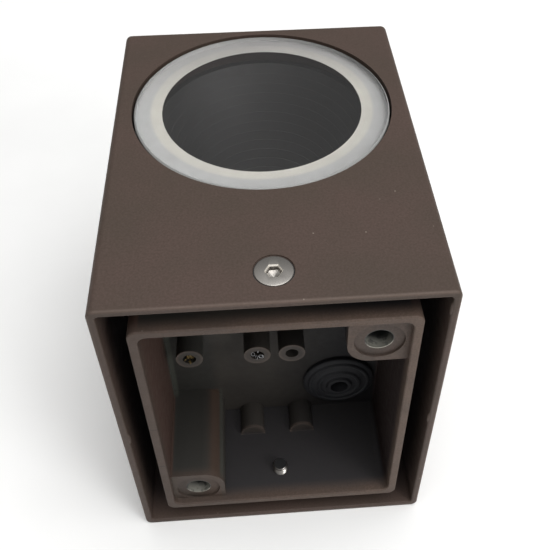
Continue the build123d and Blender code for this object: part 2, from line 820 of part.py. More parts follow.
clamps = []
clamp_screws = []
clamp_front = pole_floor + pole_depth
for x in pole_x:
    with BuildPart() as wire_clamp:
        with Locations((x, pole_floor + pole_depth / 2, boss_z)):
            Box(pole_width, pole_depth, pole_height)
        fillet(wire_clamp.edges().filter_by(Axis.Z), pole_edge_radius)
        with BuildSketch(Plane.XY.offset(boss_z - pole_height / 2)):
            with Locations((x, pole_floor + pole_bore_radius + pole_bore_wall)):
                Circle(pole_bore_radius)
        extrude(amount=pole_height, mode=Mode.SUBTRACT)
        with BuildSketch(Plane.XZ.offset(-clamp_front)):
            with Locations(*[(x, z) for z in pole_screw_z]):
                Circle(pole_screw_radius + terminal_fit)
        extrude(amount=pole_depth - pole_bore_radius - pole_bore_wall, mode=Mode.SUBTRACT)
    wire_clamp.part.label = "wire_clamp"
    clamps.append(wire_clamp.part)
    for z in pole_screw_z:
        with BuildPart() as clamp_grub:
            with BuildSketch(Plane.XZ.offset(-clamp_front - pole_screw_rise)):
                with Locations((x, z)):
                    Circle(pole_screw_radius)
            extrude(amount=pole_screw_length)
            with BuildSketch(Plane.XZ.offset(-clamp_front - pole_screw_rise)):
                with Locations((x, z)):
                    Rectangle(pole_screw_radius * 2.2, pole_screw_slot[0])
            extrude(amount=pole_screw_slot[1], mode=Mode.SUBTRACT)
        clamp_grub.part.label = "clamp_grub"
        clamp_screws.append(clamp_grub.part)
write_piece(Compound(children=clamps), "terminal_clamps")
write_piece(Compound(children=clamp_screws), "terminal_clamp_screws")

block_screw_seat = base_depth + block_depth - m5_screw[3] - block_screw_sink
terminal_screws = Compound(
    children=[
        pan_screw(
            m5_screw,
            Plane((x, block_screw_seat, boss_z), (1, 0, 0), (0, 1, 0)),
            "terminal_screw",
        )
        for x in terminal_boss_x
    ]
)
write_piece(terminal_screws, "terminal_block_screws")

# --------------------------------------------------------------- earth screw

earth_seat = base_depth + earth_washer_thickness

with BuildPart() as earth_washer:
    with BuildSketch(Plane.XZ.offset(-base_depth)):
        with Locations((earth_boss_x, boss_z)):
            Circle(m5_screw[2] + through_clearance)
            Circle(m5_screw[0] + through_clearance, mode=Mode.SUBTRACT)
    extrude(amount=-earth_washer_thickness)
write_piece(earth_washer.part, "earth_washer")

earth_screw = pan_screw(
    (m5_screw[0], earth_screw_length, m5_screw[2], m5_screw[3]),
    Plane((earth_boss_x, earth_seat, boss_z), (1, 0, 0), (0, 1, 0)),
    "earth_screw",
)
write_piece(earth_screw, "earth_screw")

# --------------------------------------------------------------- cable clamp

clamp_z = pocket_bottom + clamp_hole_rise
clamp_middle = sum(clamp_boss_x) / 2
clamp_span = clamp_boss_x[1] - clamp_boss_x[0]
clamp_top = base_depth + clamp_bar_thickness

with BuildPart() as cable_clamp:
    with BuildSketch(Plane.XY.offset(clamp_z - clamp_bar_drop)):
        with Locations((clamp_middle, base_depth + clamp_bar_thickness / 2)):
            Rectangle(clamp_span + 2 * clamp_bar_overhang, clamp_bar_thickness)
        with Locations((clamp_middle, base_depth)):
            Circle(clamp_arch_radius + clamp_arch_wall)
            Circle(clamp_arch_radius, mode=Mode.SUBTRACT)
        with Locations((clamp_middle, base_depth)):
            Rectangle(
                clamp_span * 2,
                clamp_span,
                align=(Align.CENTER, Align.MAX),
                mode=Mode.SUBTRACT,
            )
    extrude(amount=clamp_bar_height)
    with BuildSketch(Plane.XZ.offset(-base_depth)):
        with Locations(*[(x, clamp_z) for x in clamp_boss_x]):
            Circle(clamp_screw[0] + thread_clearance)
    extrude(amount=-clamp_bar_thickness, mode=Mode.SUBTRACT)
write_piece(cable_clamp.part, "cable_clamp")

cable_clamp_screws = Compound(
    children=[
        pan_screw(
            clamp_screw,
            Plane((x, clamp_top, clamp_z), (1, 0, 0), (0, 1, 0)),
            "cable_clamp_screw",
        )
        for x in clamp_boss_x
    ]
)
write_piece(cable_clamp_screws, "cable_clamp_screws")
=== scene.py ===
# %% [markdown]
# # An up and down wall light, seen from the side that goes on the wall
# The light is one hollow aluminium casting, brown with powder coat, with a round glass above
# and one below. A smaller casting, the wall base, sits inside its open back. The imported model
# gives every solid its exact place. This script keeps the shapes that are already right, gives
# them real finishes, and makes the parts that need more detail: the glasses with their printed
# borders, the threaded screws, the rubber grommet, the baffles and the light sources.

# %% Load the fixed model
from math import cos, pi, radians, sin

import bpy
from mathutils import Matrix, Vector


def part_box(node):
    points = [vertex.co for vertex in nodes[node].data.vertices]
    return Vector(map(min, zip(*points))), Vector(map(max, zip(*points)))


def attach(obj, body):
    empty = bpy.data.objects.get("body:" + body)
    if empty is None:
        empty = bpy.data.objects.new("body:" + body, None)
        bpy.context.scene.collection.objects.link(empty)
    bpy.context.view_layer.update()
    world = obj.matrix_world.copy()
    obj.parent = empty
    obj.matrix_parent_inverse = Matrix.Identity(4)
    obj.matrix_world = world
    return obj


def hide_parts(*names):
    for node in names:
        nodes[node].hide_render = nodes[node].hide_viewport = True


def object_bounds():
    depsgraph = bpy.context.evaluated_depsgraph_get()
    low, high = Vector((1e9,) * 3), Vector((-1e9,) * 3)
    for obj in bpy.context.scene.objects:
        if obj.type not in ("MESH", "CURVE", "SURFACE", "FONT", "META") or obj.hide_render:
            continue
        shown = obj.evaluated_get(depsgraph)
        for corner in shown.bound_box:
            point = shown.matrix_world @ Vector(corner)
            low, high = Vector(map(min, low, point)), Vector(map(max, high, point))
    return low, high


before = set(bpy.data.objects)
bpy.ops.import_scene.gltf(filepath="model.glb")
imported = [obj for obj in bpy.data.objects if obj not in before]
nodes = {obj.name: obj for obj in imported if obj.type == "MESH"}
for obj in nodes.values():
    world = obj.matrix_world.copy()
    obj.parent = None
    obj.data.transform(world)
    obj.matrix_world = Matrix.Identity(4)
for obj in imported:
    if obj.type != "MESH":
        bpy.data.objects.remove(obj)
cad_low, cad_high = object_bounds()
MM = 0.001
print("solids", len(nodes), "size in mm", [round(v / MM, 1) for v in cad_high - cad_low])

# %% [markdown]
# ## Places
# Every place comes from the box of a solid. The light is the same above and below, so a piece
# is made once for the upper side, and its twin is turned half round through the middle.

# %% Read places from the solids
def middle(node):
    """The middle of a solid's box."""
    low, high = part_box(node)
    return (low + high) / 2


def extent(node):
    """The size of a solid's box."""
    low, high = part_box(node)
    return high - low


middle_z = middle("housing").z
glass_middle = middle("upper_glass")
screw_middle = middle("upper_cover_screw")
print("glass", [round(v / MM, 2) for v in glass_middle], "middle height", round(middle_z / MM, 2))

# %% [markdown]
# ## Camera
# The camera looks down at about forty-five degrees on the open back of the light. Its lens
# is long enough to show the light's far end a little narrower than its near end.

# %% Place the camera
camera_data = bpy.data.cameras.new("camera")
camera_data.sensor_width = 36.0
camera_data.lens = 51.544
camera_data.shift_x = -0.0384
camera_data.shift_y = -0.0882
camera_data.dof.use_dof = False
camera_data.clip_start = 0.01
camera_data.clip_end = 20.0
camera = bpy.data.objects.new("camera", camera_data)
camera.location = (-0.00438, -0.14594, 0.24354)
camera.rotation_euler = (radians(45.316), radians(0.142), radians(-4.154))
bpy.context.scene.collection.objects.link(camera)
bpy.context.scene.camera = camera
print("camera height in mm", round(camera.location.z / MM, 1))

# %% [markdown]
# ## Light and floor
# A pale sheet runs under the light. A broad soft light hangs overhead, a smaller one stands in
# front on the right, and the grey-white surroundings fill the shadows. The glasses reflect the
# surroundings faintly and evenly, so the inside of the light looks dark grey and not black.

# %% Make the surroundings
def set_inputs(node, inputs):
    """Set a node's inputs. A node or an output given is linked, and anything else is a value."""
    for key, value in inputs.items():
        working = [socket for socket in node.inputs if socket.name == key and socket.enabled]
        socket = working[0] if working else node.inputs[key]
        if isinstance(value, bpy.types.Node):
            value = [output for output in value.outputs if output.enabled][0]
        if isinstance(value, bpy.types.NodeSocket):
            node.id_data.links.new(value, socket)
        else:
            socket.default_value = value


def add_node(tree, kind, inputs=None, **settings):
    """Add one node with its settings and inputs."""
    node = tree.nodes.new(kind)
    for key, value in settings.items():
        setattr(node, key, value)
    set_inputs(node, inputs or {})
    return node


def linear(hex_text):
    """An sRGB colour written as six hex digits, as the linear colour that a shader takes."""
    parts = [int(hex_text[i:i + 2], 16) / 255 for i in (0, 2, 4)]
    curve = [p / 12.92 if p <= 0.04045 else ((p + 0.055) / 1.055) ** 2.4 for p in parts]
    return (*curve, 1.0)


scene = bpy.context.scene
scene.view_settings.view_transform = "Standard"
world = bpy.data.worlds.new("surroundings")
scene.world = world
world.use_nodes = True
world.node_tree.nodes.clear()
way = add_node(world.node_tree, "ShaderNodeTexCoord").outputs["Generated"]
height = add_node(world.node_tree, "ShaderNodeSeparateXYZ", {"Vector": way}).outputs["Z"]
brightness = add_node(
    world.node_tree,
    "ShaderNodeMapRange",
    {"Value": height, "From Min": 0.55, "From Max": 1.0, "To Min": 0.26, "To Max": 0.95},
    interpolation_type="SMOOTHSTEP",
)
seen_directly = add_node(world.node_tree, "ShaderNodeLightPath").outputs["Is Camera Ray"]
strength = add_node(
    world.node_tree, "ShaderNodeMix", {"Factor": seen_directly, "A": brightness, "B": 0.9}
)
background = add_node(
    world.node_tree, "ShaderNodeBackground", {"Color": linear("F6F6F6"), "Strength": strength}
)
add_node(world.node_tree, "ShaderNodeOutputWorld", {"Surface": background})

# %% Hang the soft lights
def soft_light(name, size, power, place, target):
    """A round soft light that faces its target."""
    data = bpy.data.lights.new(name, "AREA")
    data.shape = "DISK"
    data.size = size
    data.energy = power
    lamp = bpy.data.objects.new(name, data)
    lamp.location = place
    lamp.rotation_euler = (Vector(target) - Vector(place)).to_track_quat("-Z", "Y").to_euler()
    scene.collection.objects.link(lamp)


soft_light("overhead", 2.4, 50.0, (0.5, -0.35, 2.4), (0, 0.05, 0))
soft_light("front", 1.1, 22.0, (1.7, -1.6, 1.3), (0, 0, 0))

# %% [markdown]
# ## Ways of making
# Most round parts of the light are turned or moulded to a round profile. Such a part is made
# as on a lathe: a filled circle is pushed along its axis step by step, and opened or closed at
# each step. Pushing and scaling keeps clean rings of faces, which a smooth shade then follows.

# %% Helpers for turned pieces
def start():
    """Leave edit mode and deselect all, so that the next operator changes nothing old."""
    if bpy.context.object and bpy.context.object.mode != "OBJECT":
        bpy.ops.object.mode_set(mode="OBJECT")
    bpy.ops.object.select_all(action="DESELECT")


def tidy_mesh():
    """In edit mode, merge doubled points and turn every face outwards."""
    bpy.ops.mesh.select_all(action="SELECT")
    bpy.ops.mesh.remove_doubles(threshold=0.0000005)
    bpy.ops.mesh.normals_make_consistent(inside=False)


def only(piece):
    """Select one piece and make it the active one."""
    start()
    piece.select_set(True)
    bpy.context.view_layer.objects.active = piece


def placed(piece, place=(0, 0, 0), turn=(0, 0, 0)):
    """Turn and move a piece, and put that into its mesh, so its object stays at the origin."""
    only(piece)
    piece.rotation_euler = turn
    piece.location = place
    bpy.ops.object.transform_apply(location=True, rotation=True, scale=True)
    return piece


def turned(name, steps, sides=128, through=False):
    """Turn a piece about Z from steps of (radius, height). A through piece ends where it began."""
    start()
    radius, height = steps[0]
    bpy.ops.mesh.primitive_circle_add(
        vertices=sides, radius=radius, fill_type="NGON", location=(0, 0, height)
    )
    piece = bpy.context.object
    piece.name = name
    bpy.ops.object.transform_apply(location=True, rotation=True, scale=True)
    bpy.ops.object.mode_set(mode="EDIT")
    bpy.ops.mesh.select_all(action="SELECT")
    for (r0, z0), (r1, z1) in zip(steps, steps[1:]):
        bpy.ops.mesh.extrude_region_move(TRANSFORM_OT_translate={"value": (0, 0, z1 - z0)})
        bpy.ops.transform.resize(value=(r1 / r0, r1 / r0, 1), center_override=(0, 0, z1))
    if through:
        bpy.ops.object.mode_set(mode="OBJECT")
        for face in piece.data.polygons:
            face.select = len(face.vertices) == sides
        bpy.ops.object.mode_set(mode="EDIT")
        bpy.ops.mesh.select_mode(type="FACE")
        bpy.ops.mesh.delete(type="ONLY_FACE")
    tidy_mesh()
    bpy.ops.object.mode_set(mode="OBJECT")
    return piece


def rounded(piece, width, segments, angle):
    """Round a piece's sharp edges, then shade it smooth where it turns gently."""
    only(piece)
    bevel = piece.modifiers.new("rounding", "BEVEL")
    bevel.width = width
    bevel.segments = segments
    bevel.limit_method = "ANGLE"
    bevel.angle_limit = radians(angle)
    bpy.ops.object.modifier_apply(modifier=bevel.name)
    bpy.ops.object.shade_smooth_by_angle(angle=radians(angle))
    return piece


def joined(pieces, name):
    """Join pieces into one mesh."""
    start()
    for piece in pieces:
        piece.select_set(True)
    bpy.context.view_layer.objects.active = pieces[0]
    bpy.ops.object.join()
    pieces[0].name = name
    return pieces[0]


def punched(piece, punch):
    """Cut a punch's shape out of a piece."""
    only(piece)
    cut = piece.modifiers.new("punch", "BOOLEAN")
    cut.operation = "DIFFERENCE"
    cut.solver = "EXACT"
    cut.object = punch
    bpy.ops.object.modifier_apply(modifier=cut.name)
    bpy.data.objects.remove(punch)
    return piece


def copied(piece, name):
    """A copy with its own mesh."""
    twin = piece.copy()
    twin.data = piece.data.copy()
    twin.name = name
    scene.collection.objects.link(twin)
    return twin


def lower_twin(piece, name):
    """The same piece for the lower side: a copy turned half round through the middle."""
    return placed(copied(piece, name), (0, 0, 2 * middle_z), (0, pi, 0))


def fitted(piece, body, slot, finish, *replaced):
    """Give a piece its finish and body, and say which solids it stands for."""
    if finish:
        piece.data.materials.clear()
        piece.data.materials.append(finish)
    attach(piece, body)
    if replaced:
        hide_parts(*replaced)
    low, high = (Vector(c) for c in (piece.bound_box[0], piece.bound_box[6]))
    print(
        piece.name, "faces", len(piece.data.polygons), "mm", [round(v / MM, 2) for v in high - low]
    )
    return piece


# %% [markdown]
# ## Finishes
# Each finish is one set of nodes on Object coordinates, which are metres in the light's own
# frame, so one real millimetre of grain is the same on every piece. A pattern's scale is
# 1000 / size, which makes its features about that many millimetres across.

# %% Start a finish
def new_finish(name):
    """An empty material, with its tree, its shader and its Object coordinates."""
    material = bpy.data.materials.new(name)
    material.use_nodes = True
    tree = material.node_tree
    tree.nodes.clear()
    shader = add_node(tree, "ShaderNodeBsdfPrincipled")
    add_node(tree, "ShaderNodeOutputMaterial", {"Surface": shader})
    place = add_node(tree, "ShaderNodeTexCoord").outputs["Object"]
    return material, tree, shader, place


def from_line(tree, place, point, across):
    """How far each place is from a line through the point. Across is 0 along the line, else 1."""
    moved = add_node(tree, "ShaderNodeVectorMath", {0: place, 1: point}, operation="SUBTRACT")
    flat = add_node(tree, "ShaderNodeVectorMath", {0: moved, 1: across}, operation="MULTIPLY")
    return add_node(tree, "ShaderNodeVectorMath", {0: flat}, operation="LENGTH")


along_y = (1.0, 0.0, 1.0)
along_z = (1.0, 1.0, 0.0)

# %% [markdown]
# ### Powder coat on die-cast aluminium
# The casting is sprayed with dry polyester powder and baked, which gives a fine matt texture like
# very fine leather. The eye sees a warm grey brown, faint clouds of redder and greener brown, and
# a rare pale speck where dust was baked in. On the housing the long edges are painted a little
# paler as a painted highlight, the rim is painted darker towards the left as painted shade, and
# the inside of the skirt is painted darker as painted shade.

# %% Make the powder coat
def powder_coat(name, red, green, cloud_mm):
    """Brown powder coat, from its redder tint to its greener tint, with clouds of that size."""
    material, tree, shader, place = new_finish(name)
    clouds = add_node(
        tree, "ShaderNodeTexNoise", {"Vector": place, "Scale": 1000 / cloud_mm, "Detail": 2.0}
    )
    drift = add_node(
        tree, "ShaderNodeMapRange", {"Value": clouds, "From Min": 0.35, "From Max": 0.65}
    )
    tint = add_node(
        tree, "ShaderNodeMix", {
            "Factor": drift, "A": linear(red), "B": linear(green)
        }, data_type="RGBA"
    )
    grain = add_node(
        tree, "ShaderNodeTexNoise", {"Vector": place, "Scale": 1000 / 0.7, "Detail": 3.0}
    )
    pits = add_node(
        tree, "ShaderNodeMapRange", {
            "Value": grain, "From Min": 0.3, "From Max": 0.7, "To Max": 0.45
        }
    )
    grained = add_node(
        tree, "ShaderNodeMix", {"Factor": pits, "A": tint, "B": linear("33291F")}, data_type="RGBA"
    )
    dust = add_node(tree, "ShaderNodeTexVoronoi", {"Vector": place, "Scale": 1000 / 8.0})
    speck = add_node(
        tree,
        "ShaderNodeMapRange",
        {"Value": dust, "From Min": 0.022, "From Max": 0.04, "To Min": 0.4, "To Max": 0.0},
    )
    coat = add_node(
        tree, "ShaderNodeMix", {
            "Factor": speck, "A": grained, "B": linear("A79C90")
        }, data_type="RGBA"
    )
    melt = add_node(
        tree, "ShaderNodeTexNoise", {"Vector": place, "Scale": 1000 / 3.0, "Detail": 2.0}
    )
    matt = add_node(
        tree,
        "ShaderNodeMapRange",
        {"Value": melt, "From Min": 0.3, "From Max": 0.7, "To Min": 0.55, "To Max": 0.66},
    )
    skin = add_node(
        tree, "ShaderNodeBump", {"Height": grain, "Distance": 0.05 * MM, "Strength": 0.55}
    )
    set_inputs(
        shader, {"Base Color": coat, "Roughness": matt, "Normal": skin, "Specular IOR Level": 0.3}
    )
    return material, tree, shader, place, coat


housing_coat, tree, shader, place, coat = powder_coat(
    "powder_coated_die_cast_aluminium", "4F403A", "4A3E37", 26.0
)
half = extent("housing") / 2
centred = add_node(
    tree, "ShaderNodeVectorMath", {0: place, 1: (0, 0, middle_z)}, operation="SUBTRACT"
)
mirrored = add_node(tree, "ShaderNodeVectorMath", {0: centred}, operation="ABSOLUTE")
axes = add_node(tree, "ShaderNodeSeparateXYZ", {"Vector": mirrored}).outputs
edge_width = 1.1 * MM
side = add_node(
    tree, "ShaderNodeMapRange", {
        "Value": axes["X"], "From Min": half.x - edge_width, "From Max": half.x
    }
)
end = add_node(
    tree, "ShaderNodeMapRange", {
        "Value": axes["Z"], "From Min": half.z - edge_width, "From Max": half.z
    }
)
back = add_node(
    tree, "ShaderNodeMapRange", {
        "Value": axes["Y"], "From Max": edge_width, "To Min": 1.0, "To Max": 0.0
    }
)
corner = add_node(tree, "ShaderNodeMath", {0: side, 1: end}, operation="MULTIPLY")
outline = add_node(tree, "ShaderNodeMath", {0: side, 1: end}, operation="MAXIMUM")
rim = add_node(tree, "ShaderNodeMath", {0: outline, 1: back}, operation="MULTIPLY")
edge = add_node(tree, "ShaderNodeMath", {0: corner, 1: rim}, operation="MAXIMUM")
# Painted highlight: the long outer edges are painted a little paler.
painted_edge_highlight = add_node(tree, "ShaderNodeMath", {0: edge, 1: 0.35}, operation="MULTIPLY")
edged = add_node(
    tree, "ShaderNodeMix", {"Factor": painted_edge_highlight, "A": coat, "B": linear("85746A")}, data_type="RGBA"
)
signed = add_node(tree, "ShaderNodeSeparateXYZ", {"Vector": centred}).outputs
# Painted shade: the rim is painted darker towards the left, away from the light.
painted_left_shade = add_node(
    tree, "ShaderNodeMapRange", {
        "Value": signed["X"], "From Min": 0.0, "From Max": -50 * MM, "To Max": 0.4
    }
)
left_rim = add_node(tree, "ShaderNodeMath", {0: painted_left_shade, 1: back}, operation="MULTIPLY")
edged = add_node(
    tree,
    "ShaderNodeMix",
    {"Factor": left_rim, "A": edged, "B": linear("3A302A")},
    data_type="RGBA",
)
# Painted shade: inside the skirt the coat is painted darker the deeper it goes.
skirt_wall = 2.3 * MM
narrow = add_node(
    tree, "ShaderNodeMath", {0: axes["X"], 1: half.x - skirt_wall}, operation="LESS_THAN"
)
low_enough = add_node(
    tree, "ShaderNodeMath", {0: axes["Z"], 1: half.z - skirt_wall}, operation="LESS_THAN"
)
inside = add_node(tree, "ShaderNodeMath", {0: narrow, 1: low_enough}, operation="MULTIPLY")
deep = add_node(
    tree, "ShaderNodeMapRange", {"Value": axes["Y"], "From Min": 1.5 * MM, "From Max": 14 * MM}
)
painted_skirt_shade = add_node(tree, "ShaderNodeMath", {0: inside, 1: deep}, operation="MULTIPLY")
shaded = add_node(
    tree, "ShaderNodeMix", {"Factor": painted_skirt_shade, "A": edged, "B": linear("2A211F")}, data_type="RGBA"
)
set_inputs(shader, {"Base Color": shaded})
print("finish", housing_coat.name)

# %% [markdown]
# ### The same coat inside the wall base
# Powder flies into a deep pocket only poorly. On the rim and the columns' faces the coat is full
# brown. Towards the floor it turns dark grey, partly a thinner coat and partly painted shade where
# little light reaches. Red brown on the left wall and on the right-facing side of the lower column
# is painted light. The right wall is painted dark as painted shade, and the floor's right part
# holds a painted shadow of the right wall. A pale line runs where the floor meets the left wall.

# %% Colour the pocket by place
pocket_coat, tree, shader, place, coat = powder_coat(
    "thin_powder_coat_in_a_casting", "635248", "594B43", 14.0
)
axes = add_node(tree, "ShaderNodeSeparateXYZ", {"Vector": place}).outputs
# Painted shade: the coat is painted darker towards the left.
painted_leftward_shade = add_node(
    tree, "ShaderNodeMapRange", {
        "Value": axes["X"], "From Min": 40 * MM, "From Max": -40 * MM, "To Max": 0.6
    }
)
coat = add_node(
    tree, "ShaderNodeMix", {
        "Factor": painted_leftward_shade, "A": coat, "B": linear("352B26")
    }, data_type="RGBA"
)
patches = add_node(
    tree, "ShaderNodeTexNoise", {"Vector": place, "Scale": 1000 / 18.0, "Detail": 3.0}
)
thin_coat_light_and_shade = add_node(
    tree,
    "ShaderNodeMix",
    {"Factor": patches, "A": linear("2D2A28"), "B": linear("403C37")},
    data_type="RGBA",
)
wall = 42 * MM
column_side = -24.6 * MM
floor_level = 41 * MM
# Painted light and shade in bands: the floor darkens towards the grommet as a painted shadow of
# the right wall, the right wall is painted shade, and the left wall is painted red brown as
# painted light. The lower wall and the part left of the lower column are only painted darker.
light_shade_and_tone_bands = (
    # what is shaded, lit or darkened, axis, from, to, and the colour
    ("the floor towards the grommet", "X", -6 * MM, 30 * MM, "1D1C1E"),
    ("the right wall", "X", wall - 1.2 * MM, wall - 0.2 * MM, "2C2220"),
    ("the lower wall", "Z", -49.5 * MM, -50.9 * MM, "2F2D2E"),
    ("the left side", "X", -22 * MM, -27 * MM, "302F2C"),
    ("the left wall", "X", -wall + 1.2 * MM, -wall + 0.2 * MM, "493730"),
)
for _, axis, first, last, band_colour in light_shade_and_tone_bands:
    reach = add_node(
        tree,
        "ShaderNodeMapRange",
        {"Value": axes[axis], "From Min": first, "From Max": last},
        interpolation_type="SMOOTHSTEP",
    )
    thin_coat_light_and_shade = add_node(
        tree, "ShaderNodeMix", {
            "Factor": reach, "A": thin_coat_light_and_shade, "B": linear(band_colour)
        }, data_type="RGBA"
    )
# Painted light and shade on the lower column: its side facing right is painted red brown as
# painted light, and its end towards the floor is painted dark as painted shade.
red_side = add_node(
    tree,
    "ShaderNodeMapRange",
    {"Value": axes["X"], "From Min": column_side - 10 * MM, "From Max": column_side - 1 * MM},
)
past_side = add_node(
    tree, "ShaderNodeMath", {0: axes["X"], 1: column_side + 1.0 * MM}, operation="LESS_THAN"
)
at_column = add_node(
    tree, "ShaderNodeMapRange", {
        "Value": axes["Z"], "From Min": -33.5 * MM, "From Max": -34.5 * MM
    }
)
far_end = add_node(
    tree, "ShaderNodeMapRange", {
        "Value": axes["Y"], "From Min": 14 * MM, "From Max": 34 * MM, "To Max": 0.85
    }
)
on_column = add_node(tree, "ShaderNodeMath", {0: at_column, 1: past_side}, operation="MULTIPLY")
painted_shade_on_column = add_node(tree, "ShaderNodeMath", {0: on_column, 1: far_end}, operation="MULTIPLY")
thin_coat_light_and_shade = add_node(
    tree, "ShaderNodeMix", {
        "Factor": painted_shade_on_column, "A": thin_coat_light_and_shade, "B": linear("1B1C1B")
    }, data_type="RGBA"
)
painted_light_on_column = add_node(tree, "ShaderNodeMath", {0: red_side, 1: on_column}, operation="MULTIPLY")
thin_coat_light_and_shade = add_node(
    tree, "ShaderNodeMix", {
        "Factor": painted_light_on_column, "A": thin_coat_light_and_shade, "B": linear("42352D")
    }, data_type="RGBA"
)
near_wall = add_node(
    tree, "ShaderNodeMapRange", {
        "Value": axes["X"], "From Min": -39.7 * MM, "From Max": -40.7 * MM
    }
)
near_floor = add_node(
    tree,
    "ShaderNodeMapRange",
    {"Value": axes["Y"], "From Min": floor_level - 4 * MM, "From Max": floor_level - 1.5 * MM},
)
along = add_node(tree, "ShaderNodeMath", {0: near_floor, 1: at_column}, operation="MAXIMUM")
wall_foot = add_node(tree, "ShaderNodeMath", {0: near_wall, 1: along}, operation="MULTIPLY")
from_foot = add_node(tree, "ShaderNodeMath", {0: axes["X"], 1: 22.9 * MM}, operation="ADD")
off_foot = add_node(tree, "ShaderNodeMath", {0: from_foot}, operation="ABSOLUTE")
foot = add_node(
    tree,
    "ShaderNodeMapRange",
    {"Value": off_foot, "From Min": 0.2 * MM, "From Max": 0.9 * MM, "To Min": 0.6, "To Max": 0.0},
)
column_foot = add_node(tree, "ShaderNodeMath", {0: foot, 1: at_column}, operation="MULTIPLY")
pale = add_node(tree, "ShaderNodeMath", {0: wall_foot, 1: column_foot}, operation="MAXIMUM")
thin_coat_light_and_shade = add_node(
    tree, "ShaderNodeMix", {
        "Factor": pale, "A": thin_coat_light_and_shade, "B": linear("454640")
    }, data_type="RGBA"
)
# Deeper in, the coat turns into the grey thin coat, which is partly a thinner coat and partly
# painted shade.
depth = add_node(
    tree,
    "ShaderNodeMapRange",
    {"Value": axes["Y"], "From Min": 0.4 * MM, "From Max": 7.0 * MM},
    interpolation_type="SMOOTHSTEP",
)
colour = add_node(
    tree, "ShaderNodeMix", {"Factor": depth, "A": coat, "B": thin_coat_light_and_shade}, data_type="RGBA"
)
print("light_shade_and_tone_bands", len(light_shade_and_tone_bands))

# %% [markdown]
# The raised ends of the bosses were rubbed in handling, so each is a paler ring. The bores of the
# two fixing holes are painted dark inside as painted shade. Near their mouths they are scraped
# bare, because screws pass there, and the bare metal shows only on their low side, as a painted
# highlight. Two hairlines cross the left rim where the parts of the mould met.

# %% Wear the bosses, and paint shade and a highlight into the bores
boss_places = ((-32.0, 2.5), (-6.75, 2.5), (6.25, 2.5), (-10.5, -51.0), (10.0, -51.0))
boss_radius = 5.0 * MM
boss_face = 29.2 * MM
boss_end = add_node(
    tree,
    "ShaderNodeMapRange",
    {
        "Value": axes["Y"],
        "From Min": boss_face + 0.9 * MM,
        "From Max": boss_face + 1.4 * MM,
        "To Min": 1.0,
        "To Max": 0.0,
    },
)
under = add_node(
    tree, "ShaderNodeMath", {0: axes["Y"], 1: boss_face - 0.4 * MM}, operation="GREATER_THAN"
)
on_end = add_node(tree, "ShaderNodeMath", {0: boss_end, 1: under}, operation="MULTIPLY")
for x, z in boss_places:
    away = from_line(tree, place, (x * MM, 0, z * MM), along_y)
    worn = add_node(
        tree,
        "ShaderNodeMapRange",
        {
            "Value": away,
            "From Min": boss_radius - 1.3 * MM,
            "From Max": boss_radius - 0.3 * MM,
            "To Min": 0.35,
        },
    )
    on_boss = add_node(
        tree, "ShaderNodeMath", {0: away, 1: boss_radius + 0.1 * MM}, operation="LESS_THAN"
    )
    rubbed = add_node(tree, "ShaderNodeMath", {0: worn, 1: patches}, operation="MULTIPLY")
    ring = add_node(tree, "ShaderNodeMath", {0: rubbed, 1: on_boss}, operation="MULTIPLY")
    ring_end = add_node(tree, "ShaderNodeMath", {0: ring, 1: on_end}, operation="MULTIPLY")
    colour = add_node(
        tree, "ShaderNodeMix", {
            "Factor": ring_end, "A": colour, "B": linear("5E524B")
        }, data_type="RGBA"
    )

fixing_places = ((32.3, 43.8), (-32.3, -43.8))
bore_radius = 4.75 * MM
scrapes = add_node(
    tree, "ShaderNodeTexNoise", {"Vector": place, "Scale": 1000 / 2.2, "Detail": 2.0}
)
scraped = add_node(
    tree, "ShaderNodeMapRange", {
        "Value": scrapes, "From Min": 0.36, "From Max": 0.5, "To Min": 0.35
    }
)
mouth = add_node(
    tree,
    "ShaderNodeMapRange",
    {
        "Value": axes["Y"],
        "From Min": 3.5 * MM,
        "From Max": 8.5 * MM,
        "To Min": 1.0,
        "To Max": 0.05,
    },
    interpolation_type="SMOOTHSTEP",
)
bright = add_node(tree, "ShaderNodeMath", {0: scraped, 1: mouth}, operation="MULTIPLY")
metal_shown = None
for x, z in fixing_places:
    away = from_line(tree, place, (x * MM, 0, z * MM), along_y)
    in_bore = add_node(tree, "ShaderNodeMath", {0: away, 1: bore_radius}, operation="LESS_THAN")
    # Painted shade: the inside of each bore is painted dark.
    painted_bore_shade = add_node(tree, "ShaderNodeMath", {0: in_bore, 1: 0.8}, operation="MULTIPLY")
    colour = add_node(
        tree, "ShaderNodeMix", {
            "Factor": painted_bore_shade, "A": colour, "B": linear("1D2022")
        }, data_type="RGBA"
    )
    # Painted highlight: the bare metal is shown only on the bore's low side.
    low_side = add_node(
        tree,
        "ShaderNodeMapRange",
        {
            "Value": axes["Z"],
            "From Min": (z - 0.5) * MM,
            "From Max": (z - 3.2) * MM,
            "To Min": 0.12,
        },
        interpolation_type="SMOOTHSTEP",
    )
    painted_low_highlight = add_node(tree, "ShaderNodeMath", {0: bright, 1: low_side}, operation="MULTIPLY")
    shown = add_node(tree, "ShaderNodeMath", {0: in_bore, 1: painted_low_highlight}, operation="MULTIPLY")
    colour = add_node(
        tree, "ShaderNodeMix", {
            "Factor": shown, "A": colour, "B": linear("B5B3A9")
        }, data_type="RGBA"
    )
    if metal_shown:
        shown = add_node(tree, "ShaderNodeMath", {0: shown, 1: metal_shown}, operation="MAXIMUM")
    metal_shown = shown

